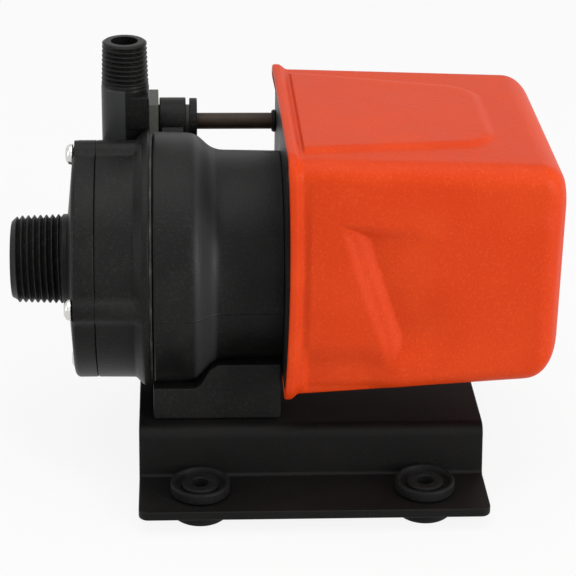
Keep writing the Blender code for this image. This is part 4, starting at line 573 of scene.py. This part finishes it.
def outlet_spigot():
    """Outlet: taper thread with a mould seam, plain neck, and the pad beside the neck's foot."""
    x, y = OUTLET
    foot = OUTLET_TOP - OUTLET_LENGTH
    low = SHAFT_Z + 24 * MM
    crest = np.linspace(OUTLET_TOP - 0.5 * MM, foot, 150)
    taper = 6.62 * MM + (OUTLET_TOP - crest) / PIPE_TAPER
    top = eased([(OUTLET_TOP, OUTLET_BORE), (OUTLET_TOP, 6.0 * MM), (OUTLET_TOP - 0.5 * MM, 6.55 * MM)],
                0.35 * MM, closed=False)
    neck = eased([(foot - 0.1 * MM, 7.0 * MM), (foot - 0.5 * MM, 7.15 * MM), (low, 7.2 * MM),
                  (low, OUTLET_BORE)], 0.3 * MM, closed=False)

    def change(along, radius, angle):
        """Threads the spigot, and adds the seam: 0.09 mm times e^-(d / 0.03)^2, an angle d from it."""
        threaded = (radius > 6.4 * MM) & (radius < 7.1 * MM) & (along > foot)
        cut = thread(-along, radius, angle, -OUTLET_TOP + 0.9 * MM, -foot - 0.6 * MM,
                     OUTLET_PITCH, OUTLET_DEPTH)
        seam = 0.09 * MM * np.exp(-((angle - TAU * 0.75) / 0.03) ** 2) * (radius > 5.5 * MM)
        return along, np.where(threaded, cut, radius) + seam

    profile = np.concatenate([top, np.column_stack([crest, taper]), neck])
    piece("outlet_spigot_skin", Shape().turned(profile, 160, OUTLET, change, "Z"), thread_black)
    left, right, near, far = x + 0.5 * MM, x + 7.1 * MM, y - 7.1 * MM, y + 6 * MM
    pad = eased([(left, near), (right, near), (right, far), (left, far)], 0.7 * MM, 3)
    block = Shape().extruded(pad, SHAFT_Z + 38.2 * MM, SHAFT_Z + 48.2 * MM, "Z")
    softened(piece("outlet_rib", block, black), 0.35 * MM)


def shell_lip():
    """Edge of the containment shell's flange, pinched between the volute and the drum."""
    low, high = VOLUTE_END + 0.35 * MM, DRUM_START - 0.35 * MM
    inner, outer = 20 * MM, 37.5 * MM
    profile = eased([(low, inner), (low, outer), (high, outer), (high, inner)], 0.15 * MM)
    return piece("shell_lip_skin", Shape().turned(profile, 160, ON_SHAFT), pale)


# Motor bracket

DRUM_RADIUS = 38.35 * MM
NECK_RADIUS = 32.5 * MM
DRUM_END = DRUM_START + 12.5 * MM
BLOCK_HALF_WIDTH = 28.5 * MM


def motor_bracket():
    """Drum, shoulder and neck in one turned skin, which ends just before the motor's end plate."""
    neck_start = DRUM_END + 7.0 * MM
    floor_start, back_face = NECK_END - 3.4 * MM, span("motor_end_plate", 0)[0] - 0.02 * MM
    drum_bore, neck_bore, opening = 30.4 * MM, 29 * MM, 13 * MM
    profile = np.array([(DRUM_START, drum_bore), (DRUM_START, DRUM_RADIUS),
                        (DRUM_END, DRUM_RADIUS - 0.35 * MM), (DRUM_END + 5.6 * MM, NECK_RADIUS + 0.4 * MM),
                        (back_face, NECK_RADIUS), (back_face, opening), (floor_start, opening),
                        (floor_start, neck_bore), (neck_start, neck_bore), (DRUM_END, drum_bore)])
    reach = np.array([0.3, 0.8, 2.6, 3.0, 0.4, 0.2, 0.2, 1.0, 1.0, 1.0]) * MM
    piece("motor_bracket_skin", Shape().turned(eased(profile, reach, 10), 224, ON_SHAFT),
          bracket_black, ["motor_bracket"])


def foot_block():
    """Block between the base plate and the bracket, with a ramp up to the neck behind the drum."""
    bottom, front, back = BASE_TOP + 0.3 * MM, DRUM_START - 0.3 * MM, NECK_END - 0.1 * MM
    low, high = SHAFT_Z - 30.0 * MM, SHAFT_Z - 22.3 * MM
    ramp = DRUM_END + 0.5 * MM
    side = eased([(bottom, front), (bottom, back), (high, back), (high, ramp + 5.8 * MM),
                  (high - 1.4 * MM, ramp + 3.6 * MM), (low + 1.4 * MM, ramp + 1.0 * MM),
                  (low, ramp - 1.0 * MM), (low, front)], 0.7 * MM, 4)
    shape = Shape().extruded(side, -BLOCK_HALF_WIDTH, BLOCK_HALF_WIDTH, "Y")
    softened(piece("foot_block_skin", shape, black), 0.6 * MM, 3)


def gland_boss():
    """Ring round the gland's stem, and the web that carries it on the drum."""
    start = span("gland_body", 0)[0] + 3.2 * MM
    end = start + 8.2 * MM
    inner, outer = 5.6 * MM, 7.4 * MM
    ring = eased([(start, inner), (start, outer), (end, outer), (end, inner)], 0.4 * MM)
    shape = Shape().turned(ring, 64, GLAND)
    out = np.array([GLAND[0], GLAND[1] - SHAFT_Z])
    distance = np.hypot(*out)
    out /= distance
    across = np.array([-out[1], out[0]])
    root, half = 35.5 * MM, 5.2 * MM
    corners = np.array([(root, -half), (distance, -half), (distance, half), (root, half)])
    web = corners[:, :1] * out + corners[:, 1:] * across + ON_SHAFT
    piece("gland_boss_skin", shape.extruded(web, start + 0.8 * MM, end - 0.8 * MM, "X"), black)


def sleeve(node, inner, outer, edge, surface, columns=48, change=None):
    """Tube on the gland's line, as long as a node."""
    low, high = span(node, 0)
    profile = eased([(low, inner), (low, outer), (high, outer), (high, inner)], edge)
    return piece(f"{node}_skin", Shape().turned(profile, columns, GLAND, change), surface, [node])


def gland():
    """Hexagon, stem, locknut, seal, lead and the bushing where the lead goes into the motor."""
    start, stem_end = span("gland_body", 0)
    end = start + 2.9 * MM
    facing = math.atan2(GLAND[1] - SHAFT_Z, GLAND[0]) + TAU / 12
    corners = hexagon(8.6 * MM / math.cos(TAU / 12), GLAND, facing)
    body = piece("gland_hexagon_skin", Shape().extruded(corners, start, end, "X"), grey, ["gland_body"])
    mouth = [(start - MM, 0), (start - MM, 4.3 * MM), (end + MM, 4.3 * MM), (end + MM, 0)]
    softened(carved(body, Shape().turned(mouth, 48, GLAND, closed=False)), 0.25 * MM)
    bore, root = 2.85 * MM, end - 0.5 * MM
    stem = eased([(root, bore), (root, 5.2 * MM), (stem_end, 5.2 * MM), (stem_end, bore)], 0.3 * MM)
    piece("gland_stem_skin", Shape().turned(stem, 64, GLAND), grey)

    def knurl(along, radius, angle):
        """Cuts 24 flutes, 0.12 mm deep, into the outside."""
        return along, radius - 0.12 * MM * (radius > 6.5 * MM) * (np.cos(angle * 24) > 0.6)

    sleeve("gland_locknut", 5.5 * MM, 7.2 * MM, 0.4 * MM, black, 144, knurl)
    sleeve("gland_seal", bore, 4.0 * MM, 0.5 * MM, rubber)
    low, high = span("motor_lead", 0)
    lead = eased([(low, 0), (low, 2.55 * MM), (high, 2.55 * MM), (high, 0)], 0.4 * MM, closed=False)
    piece("motor_lead_skin", Shape().turned(lead, 64, GLAND, closed=False), sheath, ["motor_lead"])
    low, high = span("lead_bushing", 0)
    waist, lip = 3.2 * MM, 3.7 * MM
    bushing = eased([(low, bore), (low, waist), (low + MM, lip), (low + MM, waist), (high - MM, waist),
                     (high - MM, lip), (high, waist), (high, bore)], 0.3 * MM)
    piece("lead_bushing_skin", Shape().turned(bushing, 48, GLAND), rubber, ["lead_bushing"])


# Base plate and feet

def base_plate():
    """Hat section with bent corners, round ends and a hole for each foot."""
    start, end = span("base_plate", 0)
    half_width = span("base_plate", 1)[1]
    thick, inner, plan_corner = 2.8 * MM, 1.2 * MM, 2.8 * MM
    flange_top = BASE_LOW + thick
    web_top, web_foot = 34.0 * MM, 36.2 * MM
    outer = inner + thick

    def arc(u, v, radius, low, high):
        """Ten points of an arc from low to high quarter turns: u + r cos a and v + r sin a."""
        angle = np.linspace(low, high, 10) * TAU / 4
        return np.column_stack([u + radius * np.cos(angle), v + radius * np.sin(angle)])

    half = np.concatenate([
        arc(web_top - outer, BASE_TOP - outer, outer, 1, 0),
        arc(web_foot + inner, flange_top + inner, inner, 2, 3),
        [(half_width, flange_top), (half_width, BASE_LOW)],
        arc(web_foot + inner, BASE_LOW + outer, outer, 3, 2),
        arc(web_top - outer, BASE_TOP - outer, inner, 0, 1)])
    outline = np.concatenate([half, half[::-1] * (-1, 1)])
    made = piece("base_plate_skin", Shape().extruded(outline, start, end, "X"), paint, ["base_plate"])
    mesh = bmesh.new()
    mesh.from_mesh(made.data)
    corners = [edge for edge in mesh.edges
               if all(abs(abs(vert.co.y) - half_width) < 1e-6 for vert in edge.verts)
               and abs(edge.verts[0].co.x - edge.verts[1].co.x) < 1e-6]
    bmesh.ops.bevel(mesh, geom=corners, offset=plan_corner, segments=8, affect="EDGES", profile=0.5)
    mesh.to_mesh(made.data)
    mesh.free()
    holes = Shape()
    below, above, hole_radius = BASE_LOW - MM, flange_top + MM, 5.7 * MM
    hole = [(below, 0), (below, hole_radius), (above, hole_radius), (above, 0)]
    for foot in FEET:
        holes.turned(hole, 48, (middle(foot, 0), middle(foot, 1)), axis="Z", closed=False)
    return softened(carved(made, holes), 0.45 * MM, 3, 50)


def rubber_foot(node):
    """Grommet: lipped upper disc with a groove round its boss, waist, and lower disc."""
    low, high = span(node, 2)
    low_disc, top_disc = BASE_LOW - 0.3 * MM, BASE_LOW + 3.1 * MM
    profile = np.array([
        (low, 2.6), (high - 0.4 * MM, 2.6), (high - 0.4 * MM, 4.9), (high - 0.8 * MM, 5.5),
        (high - 1.9 * MM, 5.6), (high - 1.9 * MM, 7.1), (high, 7.6), (high, 8.5), (high - 0.5 * MM, 8.8),
        (top_disc + 0.3 * MM, 8.8), (top_disc, 8.3), (top_disc, 5.4), (low_disc, 5.4), (low_disc, 8.3),
        (low_disc - 0.7 * MM, 8.6), (low + 0.6 * MM, 8.4), (low, 7.8)]) * (1, MM)
    shape = Shape().turned(eased(profile, 0.35 * MM, 4), 112, (middle(node, 0), middle(node, 1)), axis="Z")
    return piece(f"{node}_skin", shape, rubber, [node])


def foot_bolt(node):
    """Hexagon bolt head under the base plate, and its shank."""
    centre = (middle(node, 0), middle(node, 1))
    low, high = span(node, 2)
    shape = Shape().extruded(hexagon(4.2 * MM, centre), low, low + 3 * MM, "Z")
    root, shank = low + 2 * MM, 2.3 * MM
    shape.turned([(root, 0), (root, shank), (high, shank), (high, 0)], 32, centre, axis="Z", closed=False)
    return softened(piece(f"{node}_skin", shape, stainless, [node]), 0.25 * MM)


# Motor cover

COVER_LENGTH = COVER_END - RIM
HALF_WIDTH = 42.9 * MM
TOP_FRONT, TOP_REAR = 47.3 * MM, 44.9 * MM
BOTTOM_FRONT, BOTTOM_REAR = 26.9 * MM, 21.7 * MM
CORNER = 5.8 * MM
END_RADIUS, TOP_RADIUS, BOTTOM_RADIUS = 7.2 * MM, 9.0 * MM, 9.6 * MM
WALL = 2.4 * MM
FLARE = 1.5 * MM
LEAF_TIP, LEAF_FOOT = 29.5 * MM, -16.5 * MM
LEAF_WIDTH = 8.0 * MM
LEAF_SET, LEAF_LEAN = 14.3 * MM, 15.3 * MM
SWELL, CREASE, RUN_OUT, HOLLOW = 0.6 * MM, 2.7 * MM, 21 * MM, 1.8 * MM
BOW, BOW_MIDDLE, BOW_REACH = 0.6 * MM, 10 * MM, 34 * MM
PANEL_LENGTH, PANEL_FRONT, PANEL_NARROWING = 60 * MM, 34 * MM, 10.5 * MM
PANEL_RISE, PANEL_CORNER, PANEL_EDGE = 1.1 * MM, 9 * MM, 3.6 * MM
# Distance behind the rim and step in from the flare, in two steps
RIM_STEPS = np.array([(0, -0.45), (0.15, -0.12), (0.5, 0), (1.8, 0), (2.1, -0.12), (3.2, -1.0),
                      (3.5, -1.3), (4.2, -1.5)]) * MM


def ring_shape(across=84, up=110, corner=14):
    """Unit ring of a rounded rectangle, a column for each point.

    Its rows are the corner's angle, a side factor from -1 to 1 and a height factor from 0 to 1.
    """
    corners = np.array([(1, 0), (1, 1), (-1, 1), (-1, 0)], float)
    rows = []
    for number, here in enumerate(corners):
        quarter = number - 1
        turn = (quarter + np.linspace(0, 1, corner)) * TAU / 4
        rows.append(np.column_stack([turn, np.tile(here, (corner, 1))]))
        steps = across if number % 2 else up
        share = np.linspace(0, 1, steps + 2)[1:-1, None]
        way = here + (corners[(number + 1) % 4] - here) * share
        rows.append(np.column_stack([np.full(steps, (quarter + 1) * TAU / 4), way]))
    return np.concatenate(rows).T[:, None]


RING = ring_shape()


def cover_sections(x, wall=0.0, flare=0.0):
    """Rounded sections of the cover at stations x, a (rows, 1) or (rows, columns) array.

    Gives y = e (W - r) + r cos a and the height over the shaft, B + r + t (T - B - 2r) + r sin a, with the
    ring's side factor e, height factor t and angle a, and half width W, top T and bottom B tapering along x.
    """
    share = (x - RIM) / COVER_LENGTH

    def shrink(radius):
        """What a fillet round the rear edge takes off, i into it: r - sqrt(r^2 - i^2)."""
        inside = np.clip(x - (COVER_END - wall - radius), 0, radius)
        return radius - np.sqrt(radius ** 2 - inside ** 2)

    width = HALF_WIDTH - wall + flare - shrink(END_RADIUS - wall)
    top = TOP_FRONT + (TOP_REAR - TOP_FRONT) * share - wall + flare - shrink(TOP_RADIUS - wall)
    bottom = -(BOTTOM_FRONT + (BOTTOM_REAR - BOTTOM_FRONT) * share) + wall - flare
    bottom = bottom + shrink(BOTTOM_RADIUS - wall)
    radius = np.minimum(CORNER - wall + flare, np.minimum(width, (top - bottom) / 2) * 0.9)
    angle, side, height = RING
    return (side * (width - radius) + radius * np.cos(angle),
            bottom + radius + height * (top - bottom - 2 * radius) + radius * np.sin(angle))


def sections(x, wall=0.0, flare=0.0):
    """Points of the sections at stations x."""
    y, z = cover_sections(x, wall, flare)
    return np.stack([x + 0 * y, y, z], axis=-1)


def panel(x, y):
    """Raised top panel: 1 inside a tapering rounded outline, eased over its edge."""
    half = PANEL_FRONT - PANEL_NARROWING * np.clip((x - RIM) / PANEL_LENGTH, 0, 1)
    beyond = np.hypot(np.clip(np.abs(y) - half + PANEL_CORNER, 0, None),
                      np.clip(x - RIM - PANEL_LENGTH + PANEL_CORNER, 0, None))
    return smooth((PANEL_CORNER - beyond) / PANEL_EDGE + 0.5)


def leaf_lines(z):
    """Left line and width of the leaf at a height.

    With s from 0 at its tip to 1 at its foot: left = 14.3 + 15.3 s^1.15 mm behind the rim, and
    width = 8 sin(a quarter turn times the least of 1, 7s and 4(1 - s)) mm.
    """
    share = np.clip((LEAF_TIP - z) / (LEAF_TIP - LEAF_FOOT), 0, 1)
    width = LEAF_WIDTH * np.sin(TAU / 4 * np.minimum(1, np.minimum(7 * share, 4 * (1 - share))))
    return RIM + LEAF_SET + LEAF_LEAN * share ** 1.15, width


def bowed(z):
    """1 at the height where the sides stand out most, and less by the square of the distance from it."""
    return 1 - ((z - BOW_MIDDLE) / BOW_REACH) ** 2


def side_relief(x, z):
    """A low swell behind the rim, the leaf, a hollow under its foot and the side's own slight bow.

    The leaf is level at its left line, goes down in two steps to a crease at its right one, and comes back
    over 21 mm as (1 - distance / 21 mm)^1.5. Its depth goes with its width^1.5.
    """
    left, width = leaf_lines(z)
    off = x - left
    share = np.clip(off / np.maximum(width, 0.3 * MM), 0, 1)
    down = 0.45 * smooth(share / 0.55) + 0.55 * smooth((share - 0.45) / 0.62)
    back = np.clip((off - width) / RUN_OUT, 0, 1)
    swell = SWELL * smooth((x - RIM - 3.4 * MM) / LEAF_SET) * (1 - smooth(off / RUN_OUT))
    hollow = smooth((-8 * MM - z) / (9 * MM)) * smooth((z + 26.5 * MM) / (4 * MM))
    hollow = hollow * (1 - smooth((x - RIM - 22 * MM) / (12 * MM)))
    leaf = CREASE * (width / LEAF_WIDTH) ** 1.5 * down * (1 - back) ** 1.5
    return BOW * bowed(z) + swell - leaf - HOLLOW * hollow


def cover_stations(start):
    """Stations of the cover's body, a row for each ring.

    They are even up to the leaf's crease, even again behind it, and closer round the rear edge. The crease
    is taken at the heights of the section 28 mm behind the rim.
    """
    left, width = leaf_lines(cover_sections(np.array([[RIM + 28 * MM]]))[1])
    crease, bend_start = left + width, COVER_END - BOTTOM_RADIUS
    near, far = (np.linspace(0, 1, count)[:, None] for count in (64, 92))
    turn = np.radians(np.linspace(0, 90, 16))[1:, None]
    bend = bend_start + (BOTTOM_RADIUS - END_RADIUS) * np.linspace(0, 1, 8)[1:, None]
    return np.concatenate([start + (crease - start) * near, crease + (bend_start - crease) * far[1:],
                           bend + 0 * crease, COVER_END - END_RADIUS * (1 - np.sin(turn)) + 0 * crease])


def cover_outside(start):
    """Body and rear face behind a station, with the top panel, the sides' relief and the near side's dimple.

    The dimple is 0.35 mm times e^-(p^2 + q^2), where p and q are the distances from it over 2 and 3 mm.
    """
    x = cover_stations(start)
    y, z = cover_sections(x)
    begun = smooth((x - start) / (2.5 * MM))
    on_top = smooth((z - 30 * MM) / (6 * MM)) * (np.abs(y) < HALF_WIDTH - CORNER * 0.5)
    on_side = smooth((np.abs(y) - HALF_WIDTH + 3.2 * MM) / (1.6 * MM))
    z = z + PANEL_RISE * panel(x, y) * on_top * smooth((x - start) / (0.9 * MM))
    dimple = np.exp(-((x - COVER_END + 4.9 * MM) / (2.0 * MM)) ** 2 - ((z - 31.6 * MM) / (3.0 * MM)) ** 2)
    y = y + np.sign(y) * (side_relief(x, z) * on_side * begun - 0.35 * MM * dimple * (y < 0))
    return np.stack([x, y, z], axis=-1)


def cover_inside():
    """Inside of the rear face and walls, the ledge before the end plate and the flat of the lip."""
    ledge = span("motor_end_plate", 0)[0] + 3.3 * MM
    inner_end = COVER_END - WALL
    turn = np.radians(np.linspace(0, 90, 6))
    inner_x = np.concatenate([[ledge, inner_end - BOTTOM_RADIUS + WALL],
                              inner_end - (END_RADIUS - WALL) * (1 - np.sin(turn))])
    inner = sections(inner_x[:, None], WALL)
    lip = sections(np.array([[ledge], [RIM + 0.3 * MM], [RIM]]), WALL,
                   np.array([[FLARE], [FLARE], [FLARE + 0.3 * MM]]))
    return np.concatenate([inner[::-1], lip])


def motor_cover():
    """Moulded cover as one closed skin: inside, lip, two-step rim, body and rear face.

    The rim bends back by 0.9 mm where the sides bow out most, and its top leans forward towards the far
    side by up to 1.1 mm. Both run out within 12 mm of the rim.
    """
    rim = sections(RIM + RIM_STEPS[:-1, :1], 0.0, FLARE + RIM_STEPS[:-1, 1:])
    skin = np.concatenate([cover_inside(), rim, cover_outside(RIM + RIM_STEPS[-1, 0])])
    x, y, z = skin[..., 0], skin[..., 1], skin[..., 2]
    bow = np.clip(bowed(z), 0, 1) * smooth((np.abs(y) - 38 * MM) / (3 * MM))
    skew = 1.1 * MM * np.clip((y + 40 * MM) / (80 * MM), 0, 1) * smooth(z / (9 * MM) - 4)
    skin[..., 0] += (0.9 * MM * bow - skew) * np.clip(1 - (x - RIM) / (12 * MM), 0, 1)
    skin[..., 2] += SHAFT_Z
    shares = np.array([0.985, 0.9, 0.6, 0.2, 0.0])[:, None, None]
    caps = [edge.mean(axis=0) + (edge - edge.mean(axis=0)) * shares for edge in (skin[0], skin[-1])]
    shape = Shape()
    shape.grid(np.concatenate([caps[0][::-1], skin, caps[1]]))
    return piece("motor_cover_skin", shape, orange, ["motor_cover"], 50)


# Pieces

suction_cover()
spider()
for screw, screw_place in enumerate(SCREW_PLACES, start=1):
    pan_screw(screw, screw_place)
volute_body()
outlet_spigot()
shell_lip()
motor_bracket()
foot_block()
gland_boss()
gland()
base_plate()
for bolt, foot_name in enumerate(FEET, start=1):
    rubber_foot(foot_name)
    foot_bolt(f"foot_bolt_{bolt}")
motor_cover()

SURFACES = {
    "black_plastic": black, "black_paint": paint, "orange_plastic": orange, "pale_plastic": pale,
    "grey_plastic": grey, "black_rubber": rubber, "lead_sheath": sheath, "stainless_steel": stainless,
    "steel": steel, "lamination_steel": lamination, "copper": winding, "cast_aluminium": cast,
    "ferrite": ferrite, "ceramic": ceramic, "carbon": carbon,
}
for part in frame["record"]["subparts"]:
    for slot in frame["nodes"][part["node"]].material_slots:
        slot.material = SURFACES[part["material_slot"]].made


# Floor, light and camera

WHITE = (1.0, 1.0, 1.0, 1.0)
FLOOR_GLOW, WORLD_LIGHT = 0.88, 0.36
# Each lamp's place, size and power
LAMPS = {
    "top_light": ((0.0, -0.10, 0.95), (1.0, 0.9), 5.6),
    "front_light": ((-0.10, -1.15, 0.75), (1.1, 0.7), 1.2),
    "left_light": ((-1.00, -0.18, 0.25), (0.15, 0.8), 2.6),
    "right_light": ((0.86, -0.74, 0.40), (0.26, 0.8), 8.9),
}
# Azimuth, elevation and roll in degrees, place in metres, sensor and lens in millimetres
CAMERA_TURNS = (-3.30, 25.0, 1.0)
CAMERA_PLACE = (TIP + 50.28 * MM, -580.43 * MM, SHAFT_Z + 260.74 * MM)
SENSOR_WIDTH, LENS = 36.0, 130.56

def floor():
    """White sheet under the feet that still takes the pump's shadow."""
    paper = Finish("floor_paper", (0.70, 0.70, 0.70), 0.85)
    paper.tint(paper.noise(0.4, 2.0) * 0.2, (0.68, 0.68, 0.68))
    glow = paper.add("Emission", {}, {"Strength": 1.0})
    seen = paper.white_to_the_eye() * FLOOR_GLOW
    both = paper.add("MixShader", {}, {0: seen, 1: Wire(paper, paper.shader.outputs[0]),
                                       2: Wire(paper, glow.outputs[0])})
    paper.tree.links.new(both.outputs[0], paper.tree.nodes["Material Output"].inputs["Surface"])
    turns = np.linspace(0, TAU, 96, endpoint=False)
    edge = 6.0 * np.column_stack([np.cos(turns), np.sin(turns)])
    shape = Shape().extruded(edge, cad_bounds[0][2] - 1 * MM, cad_bounds[0][2] - 0.05 * MM, "Z")
    piece("floor", shape, paper, body=None)


def lamp(name, place, size, power):
    """Rectangular soft light at a place, facing the pump."""
    data = bpy.data.lights.new(name, "AREA")
    data.shape = "RECTANGLE"
    data.size, data.size_y = size
    data.energy = power
    made = bpy.data.objects.new(name, data)
    made.location = place
    made.rotation_euler = (Vector((0.0, 0.0, SHAFT_Z)) - Vector(place)).to_track_quat("-Z", "Y").to_euler()
    bpy.context.scene.collection.objects.link(made)


def studio():
    """Soft lamps above, in front and at the sides, and a world that looks white but lights less."""
    for name, values in LAMPS.items():
        lamp(name, *values)
    world = bpy.data.worlds.new("studio")
    bpy.context.scene.world = world
    nodes = Nodes(world)
    light = nodes.tree.nodes["Background"]
    light.inputs["Color"].default_value = WHITE
    light.inputs["Strength"].default_value = WORLD_LIGHT
    white = nodes.add("Background", {}, {"Color": WHITE, "Strength": 1.0})
    both = nodes.add("MixShader", {}, {0: nodes.white_to_the_eye(), 1: Wire(nodes, light.outputs[0]),
                                       2: Wire(nodes, white.outputs[0])})
    nodes.tree.links.new(both.outputs[0], nodes.tree.nodes["World Output"].inputs["Surface"])
    bpy.context.scene.view_settings.view_transform = "Standard"


def camera():
    """Camera of the photograph: turned by azimuth and elevation, then rolled about its own axis."""
    azimuth, elevation, roll = np.radians(CAMERA_TURNS)
    forward = Vector((-math.sin(azimuth) * math.cos(elevation), math.cos(azimuth) * math.cos(elevation),
                      -math.sin(elevation)))
    right = Vector((math.cos(azimuth), math.sin(azimuth), 0.0))
    up = right.cross(forward)
    x_axis = right * math.cos(roll) + up * math.sin(roll)
    y_axis = up * math.cos(roll) - right * math.sin(roll)
    data = bpy.data.cameras.new("photo_camera")
    data.sensor_width = SENSOR_WIDTH
    data.lens = LENS
    made = bpy.data.objects.new("photo_camera", data)
    turn = Matrix((x_axis, y_axis, -forward)).transposed().to_4x4()
    made.matrix_world = Matrix.Translation(CAMERA_PLACE) @ turn
    bpy.context.scene.collection.objects.link(made)
    bpy.context.scene.camera = made


floor()
studio()
camera()
